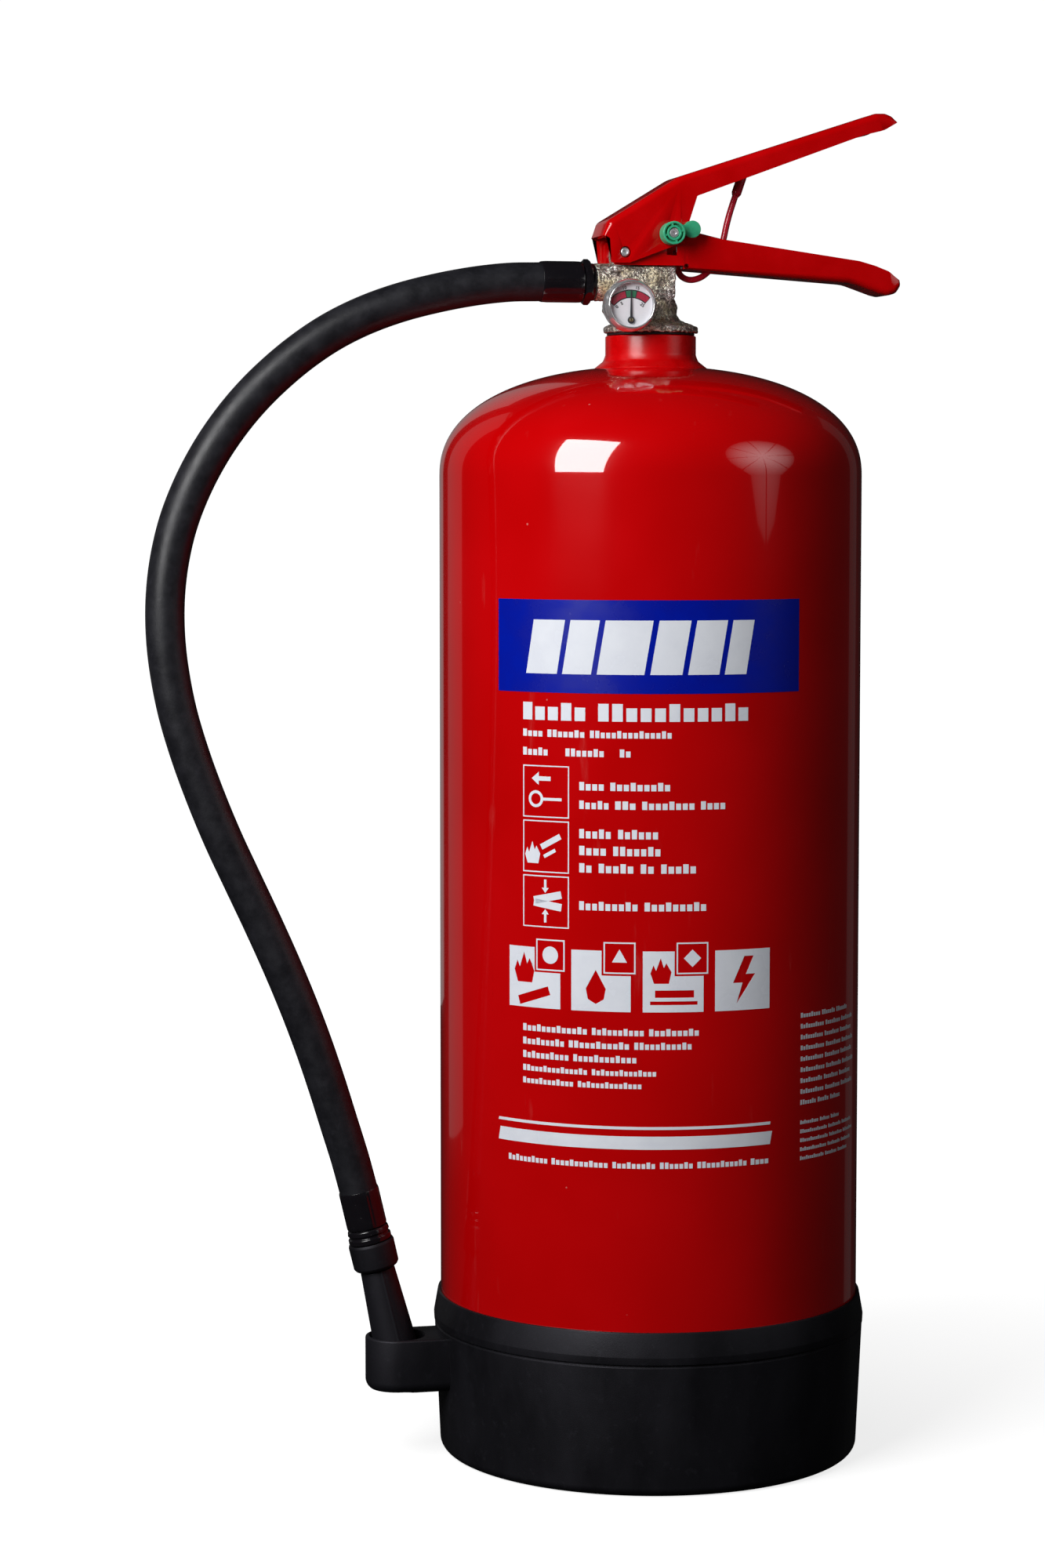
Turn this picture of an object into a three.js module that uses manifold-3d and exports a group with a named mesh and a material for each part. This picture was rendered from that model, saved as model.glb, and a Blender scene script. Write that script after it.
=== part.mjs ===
// A stored-pressure powder fire extinguisher: a steel cylinder in a moulded boot, a brass valve with a
// gauge and two pressed handles, and a hose whose nozzle rests in a holder on the boot.
// Millimetres, +Z up. The origin is on the cylinder's axis, at the underside of the boot. +X points to
// the tips of the handles, -X to the hose, and -Y is the gauge's side.
import * as THREE from "three";
import { mergeVertices } from "three/addons/utils/BufferGeometryUtils.js";
import Module from "manifold-3d";

const wasm = await Module();
wasm.setup();

// ---- Driving dimensions ----

const GAP = 0.3; // between pieces that touch

const SHELL = { r: 90, wall: 1.8, baseZ: 50, baseH: 44.6, shoulderZ: 420, domeH: 46.5, power: 2.25 };
const NECK = { bore: 15.3, r: 19.3, weldR: 22.6, bottom: 466.4, weldTop: 470.2, top: 479.2 };
const BOOT = { floor: 5, footR: 82, waistR: 90.5, beltR: 93, beltZ: 57, rimR: 91.2, rimZ: 69.3 };
const HOLDER = { x: -111, z: 30, top: 53.5, holeR: 11.9, outerR: 13.7 };

const FLANGE = { z: 480.4, r: 20, edge: 2.6 };
const VALVE_TOP = 508.3;
const CHAMBER = { r: 8, bottom: 460, seatZ: 490.5 };
const PORT = { z: 501.7, r: 7.9, bore: 4.6, face: 25.1 };
const LUG = { half: 8, back: -20, front: -5.6, top: 521.5 };

const PIVOT = { x: -14.2, z: 513.9, r: 1.9 };
const RIVET = { x: -8.4, z: 518, r: 1.5 }; // holds the carry handle to the valve's lug
const PIN = { x: 5.2, z: 521.7, r: 2.1 };
const SQUEEZE_DEG = 18;

const SHEET = 1.6; // thickness of both pressed handles
const CARRY_Y = LUG.half + GAP; // inner face of the carry handle's cheeks
const LEVER_Y = CARRY_Y + SHEET + 0.4; // inner face of the lever's cheeks
const LEVER_OUT = LEVER_Y + SHEET;

const STEM = { r: 2.2, top: 519, poppetR: 6.6, poppetZ: 484.5 };
const SPRING = { r: 5.2, wire: 0.55, bottom: 467.5, top: 483.3, turns: 5 };

const GAUGE = { x: -15.1, z: 491.1, bossR: 6, bossEnd: 15, dialR: 9.4, needleDrop: 6.3, needle: 12.2 };

const HOSE_R = 8.2;
const NUT = { r: 9.7, collarR: 7.9, collarEnd: 27, end: 30.2 };
const TAIL = { r: 4.3, bore: 2.9, holeR: 4.6 };
const NOZZLE = { x: -127.7, z: 117.1, leanDeg: 13.2, tip: 77.1 };

// The hose's centreline, from the valve's port to the nozzle, in the plane y = 0.
const HOSE_ROUTE = [
  [-48.7, 501.6], [-62, 501.2], [-77, 499.4], [-93, 496.3], [-109, 492.1], [-124, 486.6],
  [-138, 479.6], [-151, 470.9], [-163, 460.9], [-173, 450.9], [-182, 439.9], [-190, 427.9],
  [-197, 414.6], [-202.6, 400.4], [-206.3, 385.5], [-208.2, 370.5], [-208.4, 355.5], [-207, 340],
  [-203.7, 322.2], [-198.6, 304.4], [-192.2, 286.4], [-184.9, 268.4], [-176.8, 250.7],
  [-168.6, 233], [-160.8, 215.4], [-153.6, 197.9], [-147.1, 180.5], [-141.3, 163.2],
  [-136.1, 146.3], [-131.4, 131], [-127.8, 117.6],
];

// The seal strap's centreline in the plane y = 0: from the lever, down through the carry handle's slot,
// and up again beside the valve towards the safety pin.
const STRAP_ROUTE = [
  [38.2, 541.6], [36.3, 536.3], [34.5, 530.7], [33.2, 525.7], [32.1, 520.7], [30.6, 515],
  [28.6, 511], [25.6, 507], [21.8, 504.2], [17.3, 503.2], [13.6, 504.6], [11.8, 507.6],
  [11.3, 511.5], [11.3, 515.5],
];
const STRAP_R = 1.4;

// ---- Geometry helpers ----

const deg = THREE.MathUtils.degToRad;

// A closed three.js geometry as a manifold solid, for joining and cutting.
function solid(geometry) {
  const bare = geometry.index ? geometry.toNonIndexed() : geometry.clone();
  bare.deleteAttribute("normal");
  bare.deleteAttribute("uv");
  const merged = mergeVertices(bare, 1e-4);
  return new wasm.Manifold(
    new wasm.Mesh({
      numProp: 3,
      vertProperties: merged.attributes.position.array,
      triVerts: new Uint32Array(merged.index.array),
    }),
  );
}

// A manifold solid as a three.js geometry.
function geometryOf(manifold) {
  const mesh = manifold.getMesh();
  return new THREE.BufferGeometry()
    .setAttribute("position", new THREE.BufferAttribute(mesh.vertProperties, 3))
    .setIndex(new THREE.BufferAttribute(mesh.triVerts, 1));
}

const join = (...parts) => parts.reduce((a, b) => a.add(b));
const cut = (body, ...tools) => tools.reduce((a, b) => a.subtract(b), body);

// A body of revolution about +Z. Its profile is a list of [radius, z], run anticlockwise: out along the
// bottom, up the outside and back in along the top. A ring's profile ends where it starts.
function turned(profile, sides = 20) {
  const points = profile.map(([r, z]) => new THREE.Vector2(r, z));
  return new THREE.LatheGeometry(points, sides).rotateX(Math.PI / 2);
}

function ringOf(inner, outer, bottom, top, sides = 20) {
  return turned([[inner, bottom], [outer, bottom], [outer, top], [inner, top], [inner, bottom]], sides);
}

function rodOf(r, bottom, top, sides = 20) {
  return turned([[0, bottom], [r, bottom], [r, top], [0, top]], sides);
}

// A rod along +Y through (x, z), from y0 to y1.
function crossRod(x, z, r, y0, y1, sides = 16) {
  return rodOf(r, -y1, -y0, sides).rotateX(Math.PI / 2).translate(x, 0, z);
}

// A flat outline of [x, z] points as a plate from y0 to y1.
function plate(outline, y0, y1) {
  const shape = new THREE.Shape(outline.map(([x, z]) => new THREE.Vector2(x, z)));
  const geometry = new THREE.ExtrudeGeometry(shape, { depth: y1 - y0, bevelEnabled: false });
  return geometry.rotateX(Math.PI / 2).translate(0, y1, 0);
}

// The two mirrored cheeks of a channel, from y = near to y = far on each side.
function cheeks(outline, near, far) {
  return [plate(outline, near, far), plate(outline, -far, -near)].map(solid);
}

// A tube of round section along a smooth line through [x, z] points in the plane y = 0.
function tube(route, r, sides, steps) {
  const points = route.map(([x, z]) => new THREE.Vector3(x, 0, z));
  return extruded(new THREE.CatmullRomCurve3(points, false, "centripetal"), r, sides, steps);
}

function extruded(path, r, sides, steps) {
  const section = new THREE.Shape();
  for (let i = 0; i < sides; i++) {
    const a = (2 * Math.PI * i) / sides;
    section[i ? "lineTo" : "moveTo"](r * Math.cos(a), r * Math.sin(a));
  }
  return new THREE.ExtrudeGeometry(section, { extrudePath: path, steps, bevelEnabled: false });
}

// Points of an arc in x and z, about (cx, cz), from angle a to angle b in degrees.
function arc(cx, cz, r, a, b, count) {
  return Array.from({ length: count + 1 }, (_, i) => {
    const t = deg(a + ((b - a) * i) / count);
    return [cx + r * Math.cos(t), cz + r * Math.sin(t)];
  });
}

// ---- Scene ----

const extinguisher = new THREE.Group();

// Groups whose own +Z runs out along the port, along the gauge, up the nozzle and along the safety pin.
const port = new THREE.Group();
port.position.set(0, 0, PORT.z);
port.rotation.y = -Math.PI / 2;

const gauge = new THREE.Group();
gauge.position.set(GAUGE.x, 0, GAUGE.z);
gauge.rotation.x = Math.PI / 2;

const nozzle = new THREE.Group();
nozzle.position.set(NOZZLE.x, 0, NOZZLE.z);
nozzle.rotation.y = -deg(NOZZLE.leanDeg);

const safetyPin = new THREE.Group();
safetyPin.position.set(PIN.x, 0, PIN.z);
safetyPin.rotation.x = Math.PI / 2;

extinguisher.add(port, gauge, nozzle, safetyPin);

function material(color, roughness, metalness) {
  return new THREE.MeshStandardMaterial({ color, roughness, metalness });
}

const RED_PAINT = material(0xb3060a, 0.25, 0.1);
const BOOT_PLASTIC = material(0x1b1b20, 0.7, 0);
const HOSE_RUBBER = material(0x232329, 0.6, 0);
const GLOSS_BLACK = material(0x0c0a0e, 0.2, 0.2);
const BRASS = material(0xb3aa90, 0.45, 0.9);
const STEEL = material(0x9b9ea3, 0.35, 0.9);
const CHROME = material(0xd4d6da, 0.12, 1);
const GREEN_PLASTIC = material(0x3fb98a, 0.45, 0);
const DIAL_WHITE = material(0xf2f2f4, 0.6, 0);
const GLASS = material(0xe8f0f4, 0.05, 0);
const SEAL_RUBBER = material(0x111111, 0.8, 0);
const RED_PLASTIC = material(0xc01020, 0.35, 0);
const TUBE_PLASTIC = material(0xe6e6e0, 0.5, 0);
const POWDER = material(0xd8d2b8, 0.95, 0);

function add(name, shape, look, parent = extinguisher) {
  const mesh = new THREE.Mesh(shape.getMesh ? geometryOf(shape) : shape, look);
  mesh.name = name;
  parent.add(mesh);
}

// ---- Cylinder, its contents and the boot ----

// Points of the top dome, from the wall in to radius rEnd, of a shell of radius r and dome height h.
function topDome(r, h, rEnd, count) {
  return Array.from({ length: count + 1 }, (_, i) => {
    const t = Math.cos((Math.PI / 2) * (i / count));
    const x = rEnd + (r - rEnd) * t;
    return [x, SHELL.shoulderZ + h * (1 - (x / r) ** SHELL.power) ** (1 / SHELL.power)];
  });
}

// Points of the elliptical bottom, from the axis out to the wall.
function bottomDome(r, h, rStart, count) {
  return Array.from({ length: count + 1 }, (_, i) => {
    const x = rStart + (r - rStart) * Math.sin((Math.PI / 2) * (i / count));
    return [x, SHELL.baseZ - h * Math.sqrt(Math.max(0, 1 - (x / r) ** 2))];
  });
}

function addCylinder() {
  const inside = SHELL.r - SHELL.wall;
  const outer = [...bottomDome(SHELL.r, SHELL.baseH, 0, 5), ...topDome(SHELL.r, SHELL.domeH, 16.5, 8)];
  const inner = [
    ...bottomDome(inside, SHELL.baseH - SHELL.wall, 0, 4),
    ...topDome(inside, SHELL.domeH - SHELL.wall, 16.5, 5),
  ];
  add("cylinder_shell", turned([...outer, ...inner.reverse()], 40), RED_PAINT);

  const ring = [
    [NECK.bore, NECK.bottom], [NECK.weldR, NECK.bottom], [NECK.weldR, NECK.weldTop - 1.4],
    [NECK.r, NECK.weldTop], [NECK.r, NECK.top - 0.6], [NECK.r - 0.6, NECK.top], [NECK.bore, NECK.top],
    [NECK.bore, NECK.bottom],
  ];
  add("neck_ring", turned(ring, 28), RED_PAINT);

  const tubeHole = 6.4;
  const powderR = inside - 1.2;
  const powderDip = SHELL.baseH - SHELL.wall - 3;
  const powderTop = 385;
  const charge = [
    ...bottomDome(powderR, powderDip, tubeHole, 4),
    [powderR, powderTop], [tubeHole, powderTop],
  ];
  add("powder_charge", turned([...charge, charge[0]], 16), POWDER);
}

function addBoot() {
  const outer = [
    [0, 0], [BOOT.footR, 0], [85.8, 0.9], [88.4, 3], [89.8, 6], [BOOT.waistR, 10],
    [BOOT.beltR, BOOT.beltZ], [BOOT.rimR, BOOT.rimZ], [0, BOOT.rimZ],
  ];
  const seatR = SHELL.r + 0.4;
  const cavity = [
    [0, BOOT.floor], [84, BOOT.floor], [87.2, 8], [88.2, 30], [seatR, SHELL.baseZ],
    [seatR, BOOT.rimZ + 1], [0, BOOT.rimZ + 1],
  ];
  const plan = new THREE.Shape();
  plan.moveTo(-85, -HOLDER.outerR);
  plan.lineTo(-85, HOLDER.outerR);
  plan.lineTo(HOLDER.x, HOLDER.outerR);
  plan.absarc(HOLDER.x, 0, HOLDER.outerR, Math.PI / 2, (3 * Math.PI) / 2);
  const lug = new THREE.ExtrudeGeometry(plan, {
    depth: HOLDER.top - HOLDER.z, bevelEnabled: false, curveSegments: 12,
  }).translate(0, 0, HOLDER.z);
  const socket = rodOf(HOLDER.holeR, HOLDER.z - 2, HOLDER.top + 2, 24).translate(HOLDER.x, 0, 0);
  const body = join(solid(turned(outer, 40)), solid(lug));
  add("base_boot", cut(body, solid(turned(cavity, 40)), solid(socket)), BOOT_PLASTIC);
}

// ---- Valve ----

function addValve() {
  const outline = [
    [0, CHAMBER.bottom], [14.9, CHAMBER.bottom], [14.9, FLANGE.z], [FLANGE.r, FLANGE.z],
    [FLANGE.r, FLANGE.z + FLANGE.edge], [14.4, 485], [11.5, 487.3], [11.5, 490.5], [9.5, 494.2],
    [9.5, VALVE_TOP], [5.2, VALVE_TOP], [5.2, 510.2], [0, 510.2],
  ];
  const barrel = rodOf(PORT.r, 0, PORT.face).rotateY(-Math.PI / 2).translate(0, 0, PORT.z);
  const lug = plate(
    [
      [LUG.back, PORT.z], [LUG.front, PORT.z], [LUG.front, LUG.top], [LUG.back + 4, LUG.top],
      [LUG.back, LUG.top - 3.5],
    ],
    -LUG.half,
    LUG.half,
  );
  const boss = crossRod(GAUGE.x, GAUGE.z, GAUGE.bossR, -GAUGE.bossEnd, 2);
  const body = join(solid(turned(outline, 28)), solid(barrel), solid(lug), solid(boss));

  const bores = [
    rodOf(CHAMBER.r, CHAMBER.bottom - 1, CHAMBER.seatZ),
    rodOf(PORT.bore, CHAMBER.seatZ - 1, PORT.z),
    rodOf(2.55, PORT.z, 511, 12),
    rodOf(3.8, 507.6, 511, 16),
    rodOf(PORT.bore, 0, PORT.face + 1).rotateY(-Math.PI / 2).translate(0, 0, PORT.z),
    crossRod(PIVOT.x, PIVOT.z, PIVOT.r + GAP, -9, 9),
    crossRod(RIVET.x, RIVET.z, RIVET.r + GAP, -9, 9, 12),
    crossRod(GAUGE.x, GAUGE.z, 3.8, -GAUGE.bossEnd - 1, -3),
    rodOf(1.2, 5, 16, 10).rotateY(-Math.PI / 2).translate(0, -4.5, 488.7),
  ];
  add("valve_body", cut(body, ...bores.map(solid)), BRASS);

  add("valve_gasket", ringOf(15.3, 18.6, NECK.top + 0.2, FLANGE.z - 0.2, 24), SEAL_RUBBER);
  const rivetEnd = CARRY_Y + SHEET - 0.1;
  add("handle_rivet", crossRod(RIVET.x, RIVET.z, RIVET.r, -rivetEnd, rivetEnd, 12), STEEL);
  const pivotEnd = LEVER_OUT - 0.2;
  add("pivot_rivet", crossRod(PIVOT.x, PIVOT.z, PIVOT.r, -pivotEnd, pivotEnd), STEEL);
}

function addValveWorks() {
  const stem = [
    [0, 479], [2.6, 479], [3, 479.5], [3, STEM.poppetZ], [STEM.poppetR, STEM.poppetZ],
    [STEM.poppetR, STEM.poppetZ + 3.4], [STEM.r, STEM.poppetZ + 3.4], [STEM.r, STEM.top - 0.9],
    [1.4, STEM.top - 0.1], [0, STEM.top],
  ];
  add("valve_stem", turned(stem, 16), STEEL);
  add("stem_seal", ringOf(2.55, 6.6, 488.2, CHAMBER.seatZ - GAP, 16), SEAL_RUBBER);
  add("stem_o_ring", ringOf(2.5, 3.5, 507.9, 509.3, 12), SEAL_RUBBER);
  const gland = [
    [2.6, 509.6], [3.5, 509.6], [3.5, 510.5], [5, 510.5], [5, 512.6], [4.5, 513], [2.6, 513],
    [2.6, 509.6],
  ];
  add("stem_gland", turned(gland, 16), BRASS);

  const turns = SPRING.turns;
  class Helix extends THREE.Curve {
    getPoint(t, target = new THREE.Vector3()) {
      const a = 2 * Math.PI * turns * t;
      const z = SPRING.bottom + (SPRING.top - SPRING.bottom) * t;
      return target.set(SPRING.r * Math.cos(a), SPRING.r * Math.sin(a), z);
    }
  }
  add("valve_spring", extruded(new Helix(), SPRING.wire, 6, turns * 10), STEEL);

  const retainer = [
    [6.3, 456], [7.7, 456], [7.7, 466.3], [3.2, 466.3], [3.2, 463], [6.3, 463], [6.3, 456],
  ];
  add("spring_retainer", turned(retainer), BRASS);
  add("dip_tube", ringOf(4.6, 6, 22, 462.7, 16), TUBE_PLASTIC);
}

// ---- Handles, safety pin and seal strap ----

function addCarryHandle() {
  // Side outline: along the bottom to the tip, back along the top, and up round the rivets.
  const side = [
    [-18.5, 508.6], [11.9, 508.6], [11.9, 507.2], [14.3, 507.2], [87.1, 502.2], [99.9, 497.8],
    [103, 497.1], [106.9, 498.1], [109, 501.5], [108.3, 503.8], [103, 507.4], [96.9, 509.7],
    [89.9, 511.6], [28.4, 520], [19.4, 521.9], [12.2, 526.4], [-12, 522.4], [-18.5, 518],
  ];
  // The web that closes the channel's bottom and tip.
  const web = [
    [15, 507.2], [87.1, 502.2], [99.9, 497.8], [103, 497.1], [106.9, 498.1], [109, 501.5],
    [108.3, 503.8], [107, 502.6], [106.2, 499.7], [103.2, 498.8], [100.3, 499.4], [87.4, 503.8],
    [15, 508.8],
  ];
  const outer = CARRY_Y + SHEET;
  // The safety pin swings with the lever, so its clearance in these cheeks is an arc about the pivot.
  const reach = Math.hypot(PIN.x - PIVOT.x, PIN.z - PIVOT.z);
  const angle = THREE.MathUtils.radToDeg(Math.atan2(PIN.z - PIVOT.z, PIN.x - PIVOT.x));
  const slotHalf = PIN.r + 0.5;
  const endRoom = 8; // degrees beyond the squeezed pin's centre
  const from = angle - SQUEEZE_DEG - endRoom;
  const slot = [
    ...arc(PIVOT.x, PIVOT.z, reach + slotHalf, from, angle, 5),
    ...arc(PIN.x, PIN.z, slotHalf, angle, angle + 180, 6),
    ...arc(PIVOT.x, PIVOT.z, reach - slotHalf, angle, from, 5),
  ];
  const strapSlot = new THREE.BoxGeometry(9, 6, 8).translate(26.5, 0, 507);
  const body = join(...cheeks(side, CARRY_Y, outer), solid(plate(web, -outer, outer)));
  const handle = cut(
    body,
    solid(plate(slot, -outer - 1, outer + 1)),
    solid(crossRod(PIVOT.x, PIVOT.z, PIVOT.r + GAP, -outer - 1, outer + 1)),
    solid(crossRod(RIVET.x, RIVET.z, RIVET.r + GAP, -outer - 1, outer + 1, 12)),
    solid(strapSlot),
  );
  add("carry_handle", handle, RED_PAINT);
}

function addLever() {
  const side = [
    [-20.2, 509.3], [-12.3, 509.4], [10.6, 518], [13.8, 527.5], [17.1, 537.8], [90.9, 564.8],
    [100, 567], [106, 570.8], [103.6, 573.2], [100.7, 574.3], [96.5, 574.2], [9.1, 545.7],
    [-21.6, 527], [-23.6, 520.8], [-20.9, 519.6],
  ];
  // The web that closes the channel's top, tip and back.
  const web = [
    [-22.2, 520.2], [-23.6, 520.8], [-21.6, 527], [9.1, 545.7], [96.5, 574.2], [100.7, 574.3],
    [103.6, 573.2], [106, 570.8], [104.6, 569.9], [102.9, 571.7], [100.4, 572.7], [96.8, 572.6],
    [9.8, 544.2], [-20.2, 526.1],
  ];
  const body = join(...cheeks(side, LEVER_Y, LEVER_OUT), solid(plate(web, -LEVER_OUT, LEVER_OUT)));
  const lever = cut(
    body,
    solid(crossRod(PIVOT.x, PIVOT.z, PIVOT.r + 0.5, -LEVER_OUT - 1, LEVER_OUT + 1)),
    solid(crossRod(PIN.x, PIN.z, PIN.r + GAP, -LEVER_OUT - 1, LEVER_OUT + 1)),
  );
  add("squeeze_lever", lever, RED_PAINT);

  // The pusher hangs from the web and ends in a round nose over the stem.
  const nose = { z: STEM.top + GAP + 1.5, r: 1.5 };
  const pusher = [
    ...arc(0, nose.z, nose.r, 180, 360, 6), [1.5, 537.2], [3.4, 538.3], [3.4, 539.9],
    [-4.6, 535.1], [-4.6, 533.6], [-1.5, 535.4],
  ];
  add("lever_pusher", plate(pusher, -5, 5), STEEL);
}

function addSafetyPin() {
  const head = { inner: LEVER_OUT + 0.4, length: 7, r: 4.9 };
  const face = head.inner + head.length;
  const rod = [
    [0, -15], [1.4, -15], [PIN.r, -14], [PIN.r, face - 1.2], [1.7, face - 0.8], [0, face - 0.8],
  ];
  add("safety_pin_rod", turned(rod, 16), STEEL, safetyPin);

  // The green head: a hub on the rod, and a round finger lobe beside its inner end.
  const hub = rodOf(head.r, head.inner, face, 24);
  const lobe = new THREE.Shape();
  lobe.moveTo(0, -2.6);
  lobe.lineTo(6.4, -2.6);
  lobe.absarc(9.3, 1.8, 3.8, deg(-130), deg(130));
  lobe.lineTo(0, 4.2);
  const wing = new THREE.ExtrudeGeometry(lobe, { depth: 3, bevelEnabled: false, curveSegments: 10 });
  wing.translate(0, 0, head.inner);
  const bore = rodOf(PIN.r + 0.2, head.inner - 1, face + 1, 16);
  const green = cut(join(solid(hub), solid(wing)), solid(bore));
  add("safety_pin_head", green, GREEN_PLASTIC, safetyPin);
}

function addStrap() {
  // The strap's locking barrel, half hidden under the lever's web.
  const [x, z] = STRAP_ROUTE[0];
  const lean = deg(19);
  const barrel = rodOf(2.1, 0, 9, 12).rotateY(lean).translate(x, 0, z);
  const strap = tube(STRAP_ROUTE, STRAP_R, 8, 22);
  add("tamper_seal_strap", join(solid(strap), solid(barrel)), RED_PLASTIC);
}

// ---- Gauge, in its own group: +Z out along the gauge, +Y up ----

function addGauge() {
  const socket = [
    [1.2, 6], [3.4, 6], [3.4, 16.6], [5.2, 16.6], [5.2, 18.3], [3, 18.3], [3, 20], [1.2, 20],
    [1.2, 6],
  ];
  add("gauge_socket", turned(socket, 14), BRASS, gauge);
  add("gauge_seal", ringOf(3.7, 5.4, GAUGE.bossEnd + GAP, 16.3, 14), SEAL_RUBBER, gauge);
  const shell = [
    [3.3, 18.7], [9.9, 18.7], [10.4, 19.2], [10.4, 22.7], [9.7, 22.7], [9.7, 19.4], [3.3, 19.4],
    [3.3, 18.7],
  ];
  add("gauge_case", turned(shell, 24), CHROME, gauge);
  const bezel = [
    [10.7, 19.2], [11.6, 19.2], [11.6, 21.5], [11.1, 24.4], [9.9, 27], [8.8, 27], [8.8, 26.5],
    [9.8, 26.5], [9.8, 23.6], [10.7, 23], [10.7, 19.2],
  ];
  add("gauge_bezel", turned(bezel, 28), CHROME, gauge);

  const arborHole = rodOf(0.9, 20, 28, 10).translate(0, -GAUGE.needleDrop, 0);
  const dial = cut(solid(rodOf(GAUGE.dialR, 21.6, 22.2, 24)), solid(arborHole));
  add("gauge_dial", dial, DIAL_WHITE, gauge);
  add("gauge_lens", rodOf(9.5, 25.2, 26.2, 24), GLASS, gauge);

  class Spiral extends THREE.Curve {
    getPoint(t, target = new THREE.Vector3()) {
      const a = 2 * Math.PI * 1.1 * t;
      const r = 4.3 + 3.6 * t;
      return target.set(r * Math.cos(a), r * Math.sin(a), 20.4);
    }
  }
  add("gauge_bourdon_tube", extruded(new Spiral(), 0.6, 6, 20), BRASS, gauge);

  const pivot = new THREE.Group();
  pivot.position.set(0, -GAUGE.needleDrop, 0);
  gauge.add(pivot);
  const pointer = new THREE.Shape();
  pointer.moveTo(-0.45, -1);
  pointer.lineTo(0.45, -1);
  pointer.lineTo(0.2, GAUGE.needle);
  pointer.lineTo(-0.2, GAUGE.needle);
  const blade = new THREE.ExtrudeGeometry(pointer, { depth: 0.4, bevelEnabled: false });
  blade.translate(0, 0, 23);
  const hub = solid(rodOf(1.5, 23, 23.4, 14));
  const needle = cut(join(solid(blade), hub), solid(rodOf(0.8, 22, 24, 10)));
  add("gauge_needle", needle, GLOSS_BLACK, pivot);
  const arbor = [
    [0, 21.3], [0.55, 21.3], [0.55, 23.7], [1.3, 23.7], [1.3, 24.2], [0.9, 24.6], [0, 24.6],
  ];
  add("gauge_arbor", turned(arbor, 12), BRASS, pivot);
}

// ---- Hose and its fittings ----

function addHose() {
  add("hose_tailpiece", ringOf(TAIL.bore, TAIL.r, 9, 47, 14), BRASS, port);
  const start = PORT.face + GAP;
  const sealR = 6.8;
  add("hose_seal", ringOf(TAIL.holeR, sealR, start, start + 1, 16), SEAL_RUBBER, port);
  // A hexagon, one corner up, with a round collar towards the valve, over the seal.
  const collar = rodOf(NUT.collarR, start, NUT.collarEnd + 1);
  const hexagon = rodOf(NUT.r, NUT.collarEnd, NUT.end, 6).rotateZ(Math.PI / 6);
  const recess = rodOf(sealR + GAP, start - 1, start + 1 + GAP);
  const bore = rodOf(TAIL.holeR, start, NUT.end + 1, 16);
  const nut = cut(join(solid(collar), solid(hexagon)), solid(recess), solid(bore));
  add("hose_nut", nut, GLOSS_BLACK, port);
  const crimp = NUT.end + GAP;
  const ferrule = [
    [TAIL.holeR, crimp], [8.2, crimp], [8.6, crimp + 0.5], [8.6, 47.9], [8.3, 48.4], [TAIL.holeR, 48.4],
    [TAIL.holeR, crimp],
  ];
  add("hose_ferrule", turned(ferrule), GLOSS_BLACK, port);
  add("hose", tube(HOSE_ROUTE, HOSE_R, 12, 34), HOSE_RUBBER);
}

function addNozzle() {
  const hole = TAIL.holeR;
  const ferrule = [
    [hole, -16.4], [8.3, -16.4], [8.6, -16], [8.6, -0.4], [8.3, 0], [hole, 0], [hole, -16.4],
  ];
  add("nozzle_ferrule", turned(ferrule), GLOSS_BLACK, nozzle);
  const ring = [
    [hole, -22.6], [9.2, -22.6], [9.2, -19.2], [8.7, -18.4], [8.7, -16.7], [hole, -16.7], [hole, -22.6],
  ];
  add("nozzle_ring", turned(ring), GLOSS_BLACK, nozzle);
  add("nozzle_tailpiece", ringOf(TAIL.bore, TAIL.r, -25.4, -1.5, 14), BRASS, nozzle);
  const collar = [
    [6.7, -34.7], [8.6, -34.7], [9.4, -34], [9.8, -32.6], [9.8, -23.9], [9.4, -23], [hole, -23],
    [hole, -25.7], [6.7, -25.7], [6.7, -34.7],
  ];
  add("nozzle_collar", turned(collar, 22), BOOT_PLASTIC, nozzle);
  const horn = [
    [3, -26], [3, -36], [7.9, -NOZZLE.tip], [9.75, -NOZZLE.tip], [7.35, -35.4], [6.4, -35.2],
    [6.4, -26], [3, -26],
  ];
  add("nozzle_horn", turned(horn, 22), BOOT_PLASTIC, nozzle);
}

addCylinder();
addBoot();
addValve();
addValveWorks();
addCarryHandle();
addLever();
addSafetyPin();
addStrap();
addGauge();
addHose();
addNozzle();

export default extinguisher;
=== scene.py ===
"""Looks of a stored-pressure powder fire extinguisher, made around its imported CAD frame.

Blender works in metres, in the CAD frame: +Z up, +X towards the tips of the handles, -Y the gauge's
side. Profiles and outlines are written in millimetres and turned into metres where a mesh is made.
"""

import math

import bmesh
import bpy
from mathutils import Matrix, Vector, noise


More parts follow.
